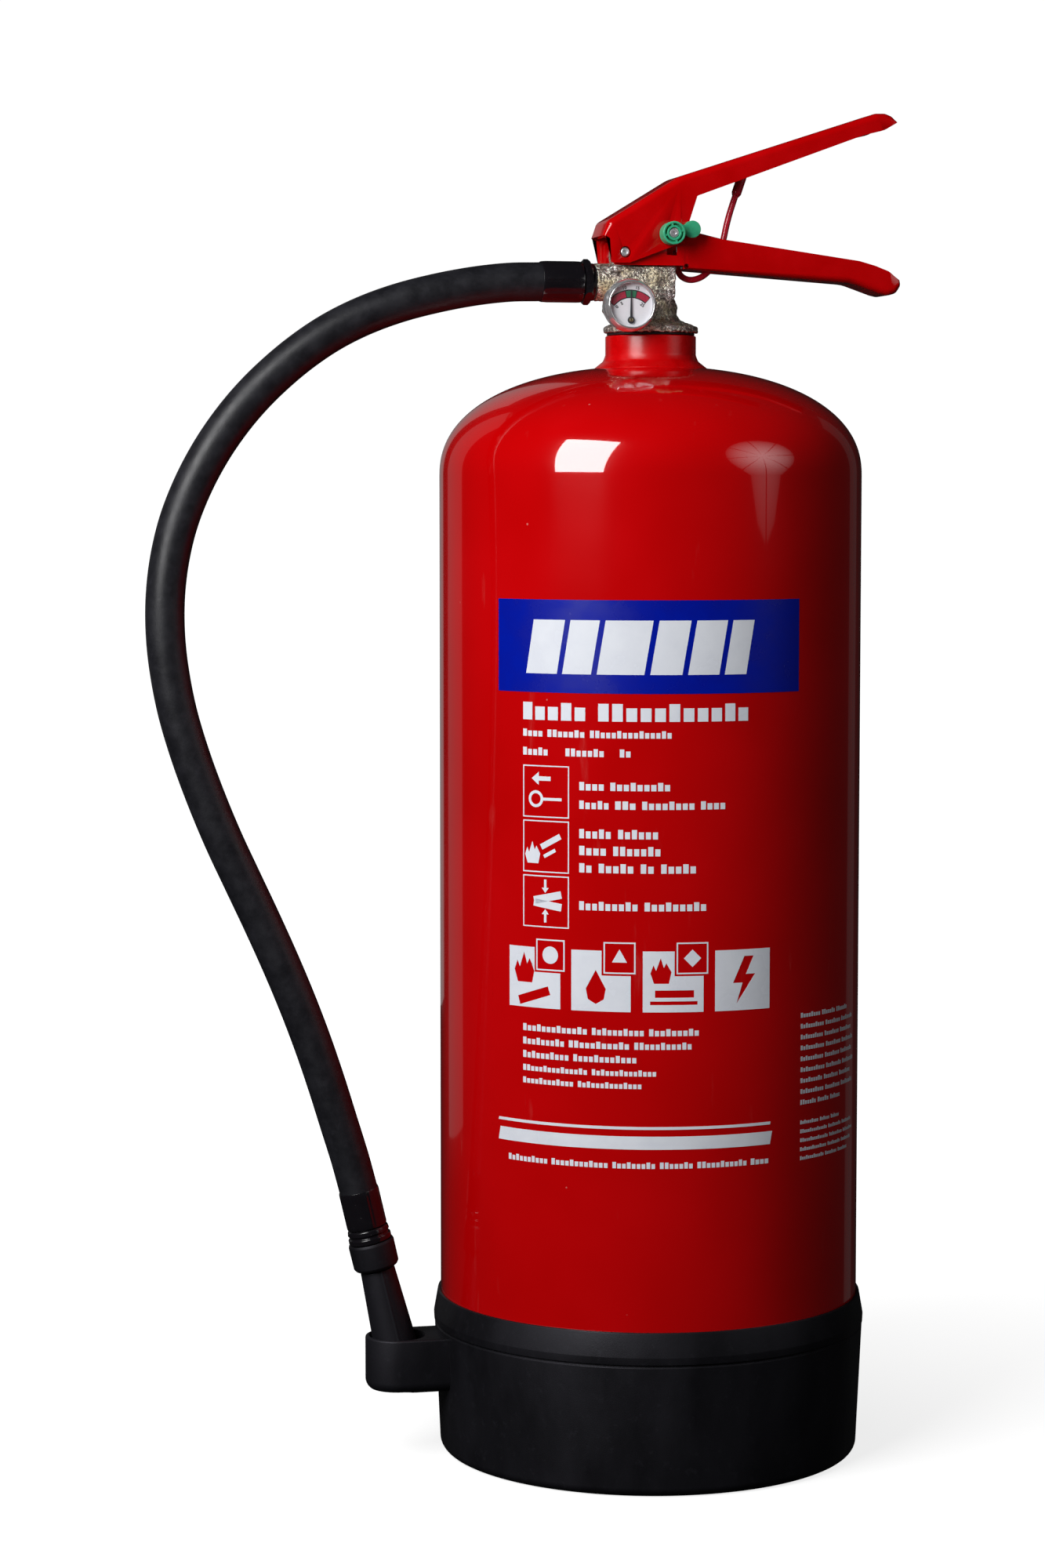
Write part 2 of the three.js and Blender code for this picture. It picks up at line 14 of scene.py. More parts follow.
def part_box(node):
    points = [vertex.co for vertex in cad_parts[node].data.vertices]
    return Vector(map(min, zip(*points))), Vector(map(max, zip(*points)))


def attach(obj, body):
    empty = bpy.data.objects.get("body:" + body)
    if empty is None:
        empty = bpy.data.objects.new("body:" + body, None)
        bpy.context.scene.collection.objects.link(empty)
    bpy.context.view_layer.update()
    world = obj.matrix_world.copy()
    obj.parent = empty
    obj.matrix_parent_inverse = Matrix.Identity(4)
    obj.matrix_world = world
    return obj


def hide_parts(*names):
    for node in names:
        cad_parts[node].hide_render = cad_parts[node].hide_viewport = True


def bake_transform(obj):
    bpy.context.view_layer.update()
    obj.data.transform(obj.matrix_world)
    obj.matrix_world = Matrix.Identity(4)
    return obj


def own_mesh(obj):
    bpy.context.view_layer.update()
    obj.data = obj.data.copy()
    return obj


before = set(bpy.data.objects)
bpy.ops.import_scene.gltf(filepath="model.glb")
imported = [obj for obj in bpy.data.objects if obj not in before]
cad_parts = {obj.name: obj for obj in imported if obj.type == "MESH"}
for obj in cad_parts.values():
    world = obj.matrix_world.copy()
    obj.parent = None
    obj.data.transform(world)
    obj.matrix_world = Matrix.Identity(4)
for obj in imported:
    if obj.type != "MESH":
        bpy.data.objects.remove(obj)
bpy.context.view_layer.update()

MM = 0.001
SCENE = bpy.context.scene

ROOT = "extinguisher_body"


def middle(node):
    """The centre of a CAD node's box, in millimetres."""
    low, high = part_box(node)
    return (low + high) / (2 * MM)


def top_of(node):
    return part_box(node)[1].z / MM


def bottom_of(node):
    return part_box(node)[0].z / MM


# ---- Driving dimensions, in millimetres, from the frame ----

SHELL_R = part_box("cylinder_shell")[1].x / MM
DOME_H = 46.5
DOME_POWER = 2.25
SHOULDER_Z = 420.0
BASE_Z, BASE_H = 50.0, 44.6
WALL = 1.8

BELT_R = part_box("base_boot")[1].x / MM
RIM_Z = top_of("base_boot")
HOLE_X = (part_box("base_boot")[0].x / MM) + 13.7  # the nozzle holder's axis

PORT_Z = middle("hose_ferrule").z
GAUGE_X, GAUGE_Z = middle("gauge_bezel").x, middle("gauge_bezel").z
PIVOT = middle("pivot_rivet")
PIN = middle("safety_pin_rod")
FLANGE_Z = top_of("valve_gasket") + 0.2
NOZZLE_LEAN = 13.2  # degrees from upright
NOZZLE_X, NOZZLE_Z = -127.7, 117.1  # the top of the nozzle's ferrule

# The hose's centreline from the valve to the nozzle, in x and z, as the CAD model has it.
HOSE_ROUTE = [
    (-48.7, 501.6), (-62, 501.2), (-77, 499.4), (-93, 496.3), (-109, 492.1), (-124, 486.6),
    (-138, 479.6), (-151, 470.9), (-163, 460.9), (-173, 450.9), (-182, 439.9), (-190, 427.9),
    (-197, 414.6), (-202.6, 400.4), (-206.3, 385.5), (-208.2, 370.5), (-208.4, 355.5), (-207, 340),
    (-203.7, 322.2), (-198.6, 304.4), (-192.2, 286.4), (-184.9, 268.4), (-176.8, 250.7),
    (-168.6, 233), (-160.8, 215.4), (-153.6, 197.9), (-147.1, 180.5), (-141.3, 163.2),
    (-136.1, 146.3), (-131.4, 131), (-127.8, 117.6),
]
HOSE_R = 8.2

# The seal strap's centreline, from the lever down through the carry handle and up towards the pin.
STRAP_ROUTE = [
    (38.2, 541.6), (36.3, 536.3), (34.5, 530.7), (33.2, 525.7), (32.1, 520.7), (30.6, 515),
    (28.6, 511), (25.6, 507), (21.8, 504.2), (17.3, 503.2), (13.6, 504.6), (11.8, 507.6),
    (11.3, 511.5), (11.3, 515.5),
]
STRAP_R = 1.35


def along_y(x, z):
    """A place at x, z whose local Z runs towards -Y."""
    return Matrix.Translation(Vector((x, 0, z)) * MM) @ Matrix.Rotation(math.pi / 2, 4, "X")


def along_x(z):
    """A place on the cylinder's axis at z whose local Z runs towards -X."""
    return Matrix.Translation(Vector((0, 0, z)) * MM) @ Matrix.Rotation(-math.pi / 2, 4, "Y")


# Groups of pieces about an axis of their own: local +Z runs out along the port and along the gauge,
# up the nozzle, and out along the safety pin's head.
PORT = along_x(PORT_Z)
GAUGE = along_y(GAUGE_X, GAUGE_Z)
NOZZLE = Matrix.Translation(Vector((NOZZLE_X, 0, NOZZLE_Z)) * MM) @ Matrix.Rotation(
    -math.radians(NOZZLE_LEAN), 4, "Y"
)
PIN_HEAD = along_y(PIN.x, PIN.z)


# ---- Camera, lights and floor ----

EYE = Vector((-0.4083, -1.5263, 0.415))
LOOK = Vector((0.2242, 0.9712, -0.0802)).normalized()


def add_camera():
    camera = bpy.data.objects.new("camera", bpy.data.cameras.new("camera"))
    camera.data.lens = 84.6
    camera.data.sensor_width = 36
    camera.location = EYE
    camera.rotation_mode = "QUATERNION"
    camera.rotation_quaternion = LOOK.to_track_quat("-Z", "Y")
    SCENE.collection.objects.link(camera)
    SCENE.camera = camera


def direction(azimuth, elevation):
    """The unit vector at an azimuth from +X and an elevation, both in degrees."""
    a, e = math.radians(azimuth), math.radians(elevation)
    return Vector((math.cos(a) * math.cos(e), math.sin(a) * math.cos(e), math.sin(e)))


def facing(place, target, level=Vector((0, 0, 1))):
    """A matrix at place whose -Z looks at target, with its X level."""
    back = (place - target).normalized()
    across = level.cross(back).normalized()
    up = back.cross(across)
    turn = Matrix((across, up, back)).transposed().to_4x4()
    return Matrix.Translation(place) @ turn


def add_area_light(name, place, target, size, radiance, seen=True):
    """A rectangular softbox of that radiance. Its power follows from its area."""
    light = bpy.data.lights.new(name, "AREA")
    light.shape = "RECTANGLE"
    light.size, light.size_y = size
    light.energy = radiance * math.pi * size[0] * size[1]
    lamp = bpy.data.objects.new(name, light)
    lamp.matrix_world = facing(place, target)
    lamp.visible_glossy = seen
    SCENE.collection.objects.link(lamp)
    return lamp


def mesh_object(name, bm):
    """An object from a bmesh, which is freed. It is in no collection yet."""
    mesh = bpy.data.meshes.new(name)
    bm.to_mesh(mesh)
    bm.free()
    return bpy.data.objects.new(name, mesh)


def add_node(tree, kind, values=(), **settings):
    """A shader node. values gives its inputs a value, or the socket that feeds them."""
    made = tree.nodes.new("ShaderNode" + kind)
    for name, value in settings.items():
        setattr(made, name, value)
    for name, value in dict(values).items():
        if isinstance(value, bpy.types.NodeSocket):
            tree.links.new(value, made.inputs[name])
        else:
            made.inputs[name].default_value = value
    return made


def position_of(material):
    """The place on the object, in its own metres."""
    return add_node(material.node_tree, "TexCoord").outputs["Object"]


def distance_of(material):
    """The distance from the object's own origin, in metres."""
    values = {0: position_of(material)}
    return add_node(material.node_tree, "VectorMath", values, operation="LENGTH").outputs["Value"]


def emission_material(name, radiance):
    material = bpy.data.materials.new(name)
    material.use_nodes = True
    tree = material.node_tree
    tree.nodes.clear()
    glow = add_node(tree, "Emission", {"Color": (1, 1, 1, 1), "Strength": radiance})
    add_node(tree, "OutputMaterial", {"Surface": glow.outputs[0]})
    return material


def add_card(name, place, target, size, radiance):
    """A glowing card that only shows in reflections."""
    bm = bmesh.new()
    bmesh.ops.create_grid(bm, x_segments=1, y_segments=1, size=0.5)
    card = mesh_object(name, bm)
    card.matrix_world = facing(place, target) @ Matrix.Diagonal((*size, 1, 1))
    card.data.materials.append(emission_material(name, radiance))
    card.visible_camera = False
    card.visible_diffuse = False
    card.visible_shadow = False
    SCENE.collection.objects.link(card)


def add_umbrella(place, target, radius, radiance):
    """A round shoot-through umbrella: eight panels with dark ribs between, brighter at its middle."""
    panels, rib = 8, math.radians(1.1)
    bm = bmesh.new()
    hub = bm.verts.new((0, 0, -0.12 * radius))
    for i in range(panels):
        a, b = math.tau * i / panels + rib, math.tau * (i + 1) / panels - rib
        rim = [
            bm.verts.new((radius * math.cos(t), radius * math.sin(t), 0))
            for t in (a, a + (b - a) / 3, a + 2 * (b - a) / 3, b)
        ]
        for p, q in zip(rim, rim[1:]):
            bm.faces.new((hub, p, q))
    umbrella = mesh_object("umbrella", bm)
    umbrella.matrix_world = facing(place, target)
    material = emission_material("umbrella_cloth", 1.0)
    tree = material.node_tree
    glow = next(n for n in tree.nodes if n.type == "EMISSION")
    fade = remap(material, distance_of(material), 0, radius, 2.5 * radiance, 0.15 * radiance)
    tree.links.new(fade, glow.inputs["Strength"])
    umbrella.data.materials.append(material)
    umbrella.visible_camera = False
    umbrella.visible_shadow = False
    SCENE.collection.objects.link(umbrella)


def add_world():
    """White behind the object, and a dim studio in its reflections and its shadows."""
    world = bpy.data.worlds.new("studio")
    SCENE.world = world
    world.use_nodes = True
    tree = world.node_tree
    tree.nodes.clear()
    rays = add_node(tree, "LightPath").outputs
    # A is the strength for diffuse rays and B for glossy ones
    ambient = {"Factor": rays["Is Glossy Ray"], "A": 0.028, "B": 0.008}
    studio = add_node(tree, "Mix", ambient, data_type="FLOAT").outputs["Result"]
    behind = {"Factor": rays["Is Camera Ray"], "A": studio, "B": 1.02}
    strength = add_node(tree, "Mix", behind, data_type="FLOAT").outputs["Result"]
    back = add_node(tree, "Background", {"Color": (1, 1, 1, 1), "Strength": strength})
    add_node(tree, "OutputWorld", {"Surface": back.outputs[0]})


def add_floor():
    bm = bmesh.new()
    bmesh.ops.create_circle(bm, cap_ends=True, radius=40, segments=96)
    floor = mesh_object("floor", bm)
    material = principled(
        "pale_floor", (0.4, 0.4, 0.4), 1, Specular_IOR_Level=0, Emission_Color=(1, 1, 1, 1)
    )
    glow = remap(material, distance_of(material), 0.1, 0.55, 0.8, 1.06)
    material.node_tree.links.new(glow, shader_of(material).inputs["Emission Strength"])
    floor.data.materials.append(material)
    floor.visible_glossy = False
    floor.visible_diffuse = False
    SCENE.collection.objects.link(floor)


def add_studio():
    SCENE.view_settings.view_transform = "Standard"
    add_world()
    add_floor()
    shoulder = Vector((-0.045, -0.075, 0.428))
    key = Vector((-0.647, -0.477, 0.376)).normalized()
    add_area_light("key_softbox", shoulder + 1.08 * key, shoulder, (0.58, 0.865), 9.6)
    flank = Vector((0.025, -0.085, 0.425))
    add_umbrella(flank + 1.6 * direction(-40, 20), flank, 0.62, 0.7)
    waist = Vector((0, 0, 0.3))
    left, back, right = (Vector((math.cos(a), math.sin(a), 0)) for a in map(math.radians, (123, 93, 38)))
    high = waist + Vector((0, 0, 0.72))
    add_card("left_wall", high + 2.2 * left, high, (0.8, 2.6), 0.11)
    add_card("back_wall", high + 2.6 * back, high, (0.8, 2.4), 0.2)
    add_card("right_wall", waist + 2.2 * right, waist, (0.5, 2.6), 0.035)
    add_area_light("back_fill", waist + 2.2 * direction(60, 35), waist, (1.2, 1.2), 0.6, seen=False)
    add_area_light("top_fill", waist + 2.2 * direction(150, 70), waist, (1.0, 1.0), 0.7, seen=False)


# ---- Shader helpers ----


def shader_of(material):
    return material.node_tree.nodes["Principled BSDF"]


def principled(name, colour, roughness, metallic=0.0, **constants):
    """A material whose even values sit on the shader's own sockets."""
    material = bpy.data.materials.new(name)
    material.use_nodes = True
    shader = shader_of(material)
    shader.inputs["Base Color"].default_value = (*colour, 1)
    shader.inputs["Roughness"].default_value = roughness
    shader.inputs["Metallic"].default_value = metallic
    for socket, value in constants.items():
        shader.inputs[socket.replace("_", " ")].default_value = value
    material.diffuse_color = (*colour, 1)
    return material


def noise_of(material, size, detail=3.0, roughness=0.55, stretch=(1, 1, 1)):
    """A noise whose features are about size millimetres across, from 0 to 1."""
    tree = material.node_tree
    scaled = add_node(tree, "Mapping", {"Vector": position_of(material), "Scale": stretch})
    values = {"Scale": 1 / (size * MM), "Detail": detail, "Roughness": roughness}
    values["Vector"] = scaled.outputs["Vector"]
    return add_node(tree, "TexNoise", values).outputs["Fac"]


def cells_of(material, size):
    """The distance from scattered points about size millimetres apart, 0 at each point."""
    values = {"Vector": position_of(material), "Scale": 1 / (size * MM)}
    return add_node(material.node_tree, "TexVoronoi", values).outputs["Distance"]


def remap(material, value, low, high, start=0.0, end=1.0):
    """value from low..high to start..end, held at its ends."""
    values = {"Value": value, "From Min": low, "From Max": high, "To Min": start, "To Max": end}
    return add_node(material.node_tree, "MapRange", values).outputs["Result"]


def combine(material, a, b, operation="MULTIPLY"):
    """a and b, each a number or a socket, put together."""
    return add_node(material.node_tree, "Math", {0: a, 1: b}, operation=operation).outputs[0]


def blend_colours(material, factor, first, second):
    """first where factor is 0, second where it is 1. Each is a colour or a socket."""
    tree = material.node_tree
    node = add_node(tree, "Mix", {"Factor": factor}, data_type="RGBA")
    for name, value in (("A", first), ("B", second)):
        socket = next(s for s in node.inputs if s.name == name and s.type == "RGBA")
        if isinstance(value, tuple):
            socket.default_value = (*value, 1)
        else:
            tree.links.new(value, socket)
    return next(s for s in node.outputs if s.type == "RGBA")


def set_colour(material, socket):
    material.node_tree.links.new(socket, shader_of(material).inputs["Base Color"])


def set_roughness(material, socket):
    material.node_tree.links.new(socket, shader_of(material).inputs["Roughness"])


def add_bump(material, height, depth, strength=1.0):
    """Bumps of about depth millimetres, on top of any bump that is there."""
    tree = material.node_tree
    normal = shader_of(material).inputs["Normal"]
    values = {"Strength": strength, "Distance": depth * MM, "Height": height}
    if normal.is_linked:
        values["Normal"] = normal.links[0].from_socket
    tree.links.new(add_node(tree, "Bump", values).outputs["Normal"], normal)


# ---- Materials ----


def red_enamel():
    """Sprayed gloss enamel: fine orange peel, slow changes of depth, dust nibs and faint scuffs."""
    m = principled(
        "red_enamel", (0.60, 0.0, 0.001), 0.16, Coat_Weight=1.0, Coat_Roughness=0.035,
        Specular_IOR_Level=0.1, Coat_IOR=1.85,
    )
    depth = noise_of(m, 60, detail=2)
    even = blend_colours(m, remap(m, depth, 0.35, 0.65), (0.57, 0.0, 0.0008), (0.63, 0.0005, 0.002))
    nib = remap(m, cells_of(m, 17), 0.022, 0.03, 1.0, 0.0)
    nib = combine(m, nib, remap(m, noise_of(m, 45, detail=1), 0.52, 0.56))
    scuff = remap(m, noise_of(m, 9, detail=5, stretch=(1, 1, 0.18)), 0.66, 0.74)
    marked = blend_colours(m, combine(m, scuff, 0.12), even, (0.62, 0.10, 0.09))
    set_colour(m, blend_colours(m, combine(m, nib, 0.6), marked, (0.75, 0.25, 0.22)))
    set_roughness(m, combine(m, remap(m, depth, 0.3, 0.7, 0.13, 0.2), combine(m, scuff, 0.15), "ADD"))
    add_bump(m, noise_of(m, 2.2, detail=2, roughness=0.4), 0.02, 0.5)
    add_bump(m, nib, 0.06, 0.5)
    return m


def red_enamel_on_sheet():
    """The same enamel on pressed sheet, with thin paint and small chips."""
    m = principled(
        "red_enamel_on_sheet", (0.60, 0.0, 0.001), 0.2, Coat_Weight=0.7, Coat_Roughness=0.07,
        Specular_IOR_Level=0.2,
    )
    depth = noise_of(m, 14, detail=3)
    even = blend_colours(m, remap(m, depth, 0.35, 0.65), (0.56, 0.0, 0.0008), (0.62, 0.0005, 0.002))
    chip = remap(m, cells_of(m, 11), 0.05, 0.065, 1.0, 0.0)
    chip = combine(m, chip, remap(m, noise_of(m, 23, detail=1), 0.54, 0.57))
    set_colour(m, blend_colours(m, combine(m, chip, 0.7), even, (0.75, 0.28, 0.24)))
    set_roughness(m, remap(m, depth, 0.3, 0.7, 0.16, 0.26))
    add_bump(m, noise_of(m, 1.6, detail=2, roughness=0.4), 0.02, 0.5)
    add_bump(m, depth, 0.1, 0.35)
    return m


def red_enamel_on_neck():
    """The enamel over the neck's turned surface: softer, with fine upright brush marks."""
    m = principled(
        "red_enamel_on_neck", (0.60, 0.0, 0.001), 0.28, Coat_Weight=0.5, Coat_Roughness=0.24,
        Specular_IOR_Level=0.2,
    )
    depth = noise_of(m, 9, detail=3)
    even = blend_colours(m, remap(m, depth, 0.35, 0.65), (0.55, 0.0, 0.0008), (0.62, 0.0005, 0.002))
    set_colour(m, even)
    set_roughness(m, remap(m, depth, 0.3, 0.7, 0.22, 0.34))
    add_bump(m, noise_of(m, 0.9, detail=3, stretch=(1, 1, 0.08)), 0.05, 0.6)
    return m


def boot_plastic():
    """Moulded polypropylene: fine matte grain, faint flow marks and handling dust."""
    m = principled(
        "boot_plastic", (0.005, 0.005, 0.006), 0.55, Specular_IOR_Level=0.45,
        Specular_Tint=(0.9, 0.88, 1, 1),
    )
    flow = noise_of(m, 22, detail=4, stretch=(1, 1, 0.5))
    dust = remap(m, noise_of(m, 4, detail=6, roughness=0.7), 0.58, 0.8)
    base = blend_colours(m, remap(m, flow, 0.35, 0.7), (0.0035, 0.0034, 0.0045), (0.006, 0.0058, 0.008))
    set_colour(m, blend_colours(m, combine(m, dust, 0.22), base, (0.05, 0.05, 0.062)))
    set_roughness(m, remap(m, flow, 0.3, 0.7, 0.44, 0.6))
    add_bump(m, noise_of(m, 0.45, detail=2), 0.05, 0.7)
    add_bump(m, noise_of(m, 7, detail=3), 0.12, 0.5)
    return m


def hose_rubber():
    """Extruded rubber cured in a cloth wrap: a fine weave imprint and a soft, uneven sheen."""
    m = principled("hose_rubber", (0.016, 0.016, 0.019), 0.42, Specular_IOR_Level=0.4)
    patch = noise_of(m, 9, detail=4, roughness=0.6)
    bloom = remap(m, noise_of(m, 3, detail=4), 0.5, 0.75)
    base = blend_colours(m, remap(m, patch, 0.35, 0.65), (0.009, 0.009, 0.0115), (0.015, 0.015, 0.019))
    set_colour(m, blend_colours(m, combine(m, bloom, 0.25), base, (0.034, 0.033, 0.042)))
    set_roughness(m, remap(m, patch, 0.3, 0.7, 0.34, 0.5))
    add_bump(m, noise_of(m, 0.7, detail=2), 0.05, 0.6)
    add_bump(m, noise_of(m, 3.5, detail=2), 0.12, 0.5)
    return m


def black_plating():
    """Gloss black zinc plating on steel, with smears and small bright rubs."""
    m = principled(
        "black_plating", (0.007, 0.006, 0.008), 0.14, Coat_Weight=0.6, Coat_Roughness=0.05,
        Specular_IOR_Level=0.45,
    )
    smear = noise_of(m, 4, detail=5, stretch=(0.4, 1, 1))
    rub = remap(m, noise_of(m, 1.4, detail=3), 0.7, 0.76)
    set_colour(m, blend_colours(m, combine(m, rub, 0.5), (0.007, 0.006, 0.008), (0.09, 0.085, 0.09)))
    set_roughness(m, remap(m, smear, 0.3, 0.7, 0.1, 0.3))
    add_bump(m, smear, 0.03, 0.4)
    return m


def valve_metal():
    """Tumbled, nickel-washed forged brass: a rough skin with brassy and purplish tints, and painted shade in
    its pits.
    """
    m = principled("valve_metal", (0.80, 0.76, 0.68), 0.3, 0.78)
    tint = noise_of(m, 6, detail=4)
    # painted shade: the colour turns nearly black where the bump below is low, in the skin's pits
    pit_shade = remap(m, noise_of(m, 1.1, detail=4, roughness=0.7), 0.44, 0.53, 1.0, 0.0)
    warm = blend_colours(m, remap(m, tint, 0.35, 0.65), (0.95, 0.92, 0.88), (0.86, 0.75, 0.50))
    cool = remap(m, noise_of(m, 11, detail=2), 0.52, 0.68)
    tinted = blend_colours(m, combine(m, cool, 0.6), warm, (0.60, 0.48, 0.52))
    set_colour(m, blend_colours(m, combine(m, pit_shade, 0.85), tinted, (0.10, 0.07, 0.06)))
    set_roughness(m, remap(m, tint, 0.3, 0.7, 0.18, 0.32))
    add_bump(m, noise_of(m, 1.1, detail=4, roughness=0.65), 0.8, 1.0)
    return m


def steel():
    m = principled("steel", (0.60, 0.60, 0.62), 0.28, 0.7)
    grain = noise_of(m, 0.5, detail=3)
    set_roughness(m, remap(m, grain, 0.3, 0.7, 0.2, 0.38))
    patch = remap(m, noise_of(m, 2), 0.4, 0.6)
    set_colour(m, blend_colours(m, patch, (0.66, 0.66, 0.69), (0.82, 0.81, 0.84)))
    add_bump(m, grain, 0.02, 0.5)
    return m


def chrome():
    m = principled("chrome", (0.86, 0.86, 0.88), 0.16, 0.78)
    haze = noise_of(m, 2, detail=4)
    set_roughness(m, remap(m, haze, 0.35, 0.7, 0.1, 0.2))
    set_colour(m, blend_colours(m, remap(m, haze, 0.4, 0.7), (0.90, 0.90, 0.92), (0.76, 0.74, 0.74)))
    add_bump(m, haze, 0.02, 0.3)
    return m


def brass():
    m = principled("brass", (0.55, 0.42, 0.20), 0.3, 1.0)
    grain = noise_of(m, 0.7, detail=3)
    set_colour(m, blend_colours(m, remap(m, grain, 0.35, 0.65), (0.60, 0.47, 0.24), (0.42, 0.31, 0.14)))
    set_roughness(m, remap(m, grain, 0.3, 0.7, 0.24, 0.4))
    add_bump(m, grain, 0.03, 0.5)
    return m


def plastic(name, light, dark, roughness, grain=0.4, **constants):
    """A moulded plastic between two close colours, with a fine grain."""
    m = principled(name, light, roughness, **constants)
    patch = noise_of(m, 3, detail=3)
    set_colour(m, blend_colours(m, remap(m, patch, 0.35, 0.65), light, dark))
    set_roughness(m, remap(m, patch, 0.3, 0.7, roughness - 0.05, roughness + 0.08))
    add_bump(m, noise_of(m, grain, detail=2), 0.03, 0.5)
    return m


def printing_ink(name, colour, darker):
    """Screen ink on the enamel: it keeps the enamel's gloss and its orange peel."""
    m = principled(name, colour, 0.22, Coat_Weight=0.6, Coat_Roughness=0.06)
    patch = noise_of(m, 12, detail=4)
    set_colour(m, blend_colours(m, remap(m, patch, 0.35, 0.65), colour, darker))
    set_roughness(m, remap(m, patch, 0.3, 0.7, 0.2, 0.3))
    add_bump(m, noise_of(m, 2.2, detail=2, roughness=0.4), 0.02, 0.5)
    return m


def clear_glass():
    m = principled("clear_glass", (0.92, 0.95, 0.96), 0.03, Alpha=0.02, Specular_IOR_Level=0.2)
    set_roughness(m, remap(m, noise_of(m, 3, detail=4), 0.3, 0.7, 0.02, 0.06))
    return m


RED = red_enamel()
SHEET_RED = red_enamel_on_sheet()
NECK_RED = red_enamel_on_neck()
BOOT = boot_plastic()
RUBBER = hose_rubber()
BLACK = black_plating()
VALVE = valve_metal()
STEEL = steel()
CHROME = chrome()
BRASS = brass()
GLASS = clear_glass()
GREEN = plastic("green_plastic", (0.045, 0.50, 0.26), (0.035, 0.42, 0.21), 0.38, Subsurface_Weight=0.08)
STRAP_RED = plastic("strap_plastic", (0.66, 0.012, 0.035), (0.58, 0.009, 0.028), 0.24, Coat_Weight=0.4)
SEAL = plastic("seal_rubber", (0.016, 0.016, 0.017), (0.010, 0.010, 0.011), 0.6)
TUBE = plastic("tube_plastic", (0.72, 0.72, 0.68), (0.62, 0.62, 0.58), 0.45)
POWDER = plastic("dry_powder", (0.66, 0.62, 0.48), (0.52, 0.48, 0.36), 0.9, grain=0.3)
DIAL = plastic("dial_enamel", (0.93, 0.93, 0.98), (0.90, 0.90, 0.95), 0.42, grain=0.2)
NEEDLE = plastic("needle_enamel", (0.010, 0.010, 0.018), (0.016, 0.016, 0.026), 0.3)
WHITE_INK = printing_ink("white_ink", (0.90, 0.93, 1.0), (0.84, 0.87, 0.95))
BLUE_INK = printing_ink("blue_ink", (0.0, 0.010, 0.38), (0.0, 0.007, 0.33))
DIAL_RED = printing_ink("dial_red_ink", (0.50, 0.006, 0.045), (0.44, 0.005, 0.04))
DIAL_GREEN = printing_ink("dial_green_ink", (0.02, 0.20, 0.09), (0.016, 0.16, 0.075))
DIAL_BLACK = printing_ink("dial_black_ink", (0.006, 0.005, 0.010), (0.012, 0.010, 0.018))


# ---- Mesh helpers ----


def turn_by(vector, angle):
    return Vector(
        (
            vector.x * math.cos(angle) - vector.y * math.sin(angle),
            vector.x * math.sin(angle) + vector.y * math.cos(angle),
        )
    )


def corner_arc(before, corner, after, radius, steps=None):
    """The points of an arc that rounds a corner. Without steps, one for every 12 degrees or so."""
    to_before, to_after = before - corner, after - corner
    half = to_before.angle(to_after) / 2
    if half > math.radians(89.5):
        return [corner.copy()] * ((steps or 0) + 1)
    reach = min(radius / math.tan(half), 0.48 * to_before.length, 0.48 * to_after.length)
    radius = reach * math.tan(half)
    inward = (to_before.normalized() + to_after.normalized()).normalized()
    centre = corner + inward * (radius / math.sin(half))
    start = corner + to_before.normalized() * reach - centre
    end = corner + to_after.normalized() * reach - centre
    sweep = math.atan2(start.x * end.y - start.y * end.x, start.dot(end))
    count = steps or max(2, math.ceil(abs(math.degrees(sweep)) / 12))
    return [centre + turn_by(start, sweep * i / count) for i in range(count + 1)]


def rounded(points, closed=True):
    """A line of (a, b) or (a, b, radius) points, with an arc at each corner that has a radius."""
    line = []
    for i, point in enumerate(points):
        corner = Vector(point[:2])
        if len(point) < 3 or (not closed and i in (0, len(points) - 1)):
            line.append(corner)
            continue
        before, after = Vector(points[i - 1][:2]), Vector(points[(i + 1) % len(points)][:2])
        line.extend(corner_arc(before, corner, after, point[2]))
    return line


def object_of(name, bm, place=None):
    """A scene object from a bmesh, which is freed."""
    bmesh.ops.recalc_face_normals(bm, faces=bm.faces)
    made = mesh_object(name, bm)
    if place is not None:
        made.data.transform(place)
    SCENE.collection.objects.link(made)
    return made


def skin(bm, loops):
    """Faces between each loop of vertices and the next, and one across each end, which it returns."""
    for first, second in zip(loops, loops[1:]):
        for i in range(len(first)):
            j = (i + 1) % len(first)
            bm.faces.new((first[i], first[j], second[j], second[i]))
    return [bm.faces.new(loops[0][::-1]), bm.faces.new(loops[-1])]


def lathe(name, profile, sides=96, place=None, shape=None):
    """A closed solid of revolution about local Z, from (radius, height[, corner radius]) points.
    shape(radius, height, angle) may change the radius from place to place."""
    bm = bmesh.new()
    rings = []
    for radius, height in rounded(profile):
        if radius < 1e-6:
            rings.append([bm.verts.new((0, 0, height * MM))])
            continue
        ring = []
        for i in range(sides):
            a = math.tau * i / sides
            r = shape(radius, height, a) if shape else radius
            ring.append(bm.verts.new((r * MM * math.cos(a), r * MM * math.sin(a), height * MM)))
        rings.append(ring)
    for lower, upper in zip(rings, rings[1:] + rings[:1]):
        for i in range(sides):
            j = (i + 1) % sides
            corners = [lower[i % len(lower)], lower[j % len(lower)]]
            corners += [upper[j % len(upper)], upper[i % len(upper)]]
            corners = [v for k, v in enumerate(corners) if v is not corners[k - 1]]
            if len(corners) > 2:
                bm.faces.new(corners)
    return object_of(name, bm, place)


def rod(name, radius, low, high, sides=48, place=None, edge=0.0):
    return lathe(name, [(0, low), (radius, low, edge), (radius, high, edge), (0, high)], sides, place)


def ring(name, inner, outer, low, high, sides=64, place=None, edge=0.0):
    corners = [(inner, low), (outer, low, edge), (outer, high, edge), (inner, high)]
    return lathe(name, corners, sides, place)


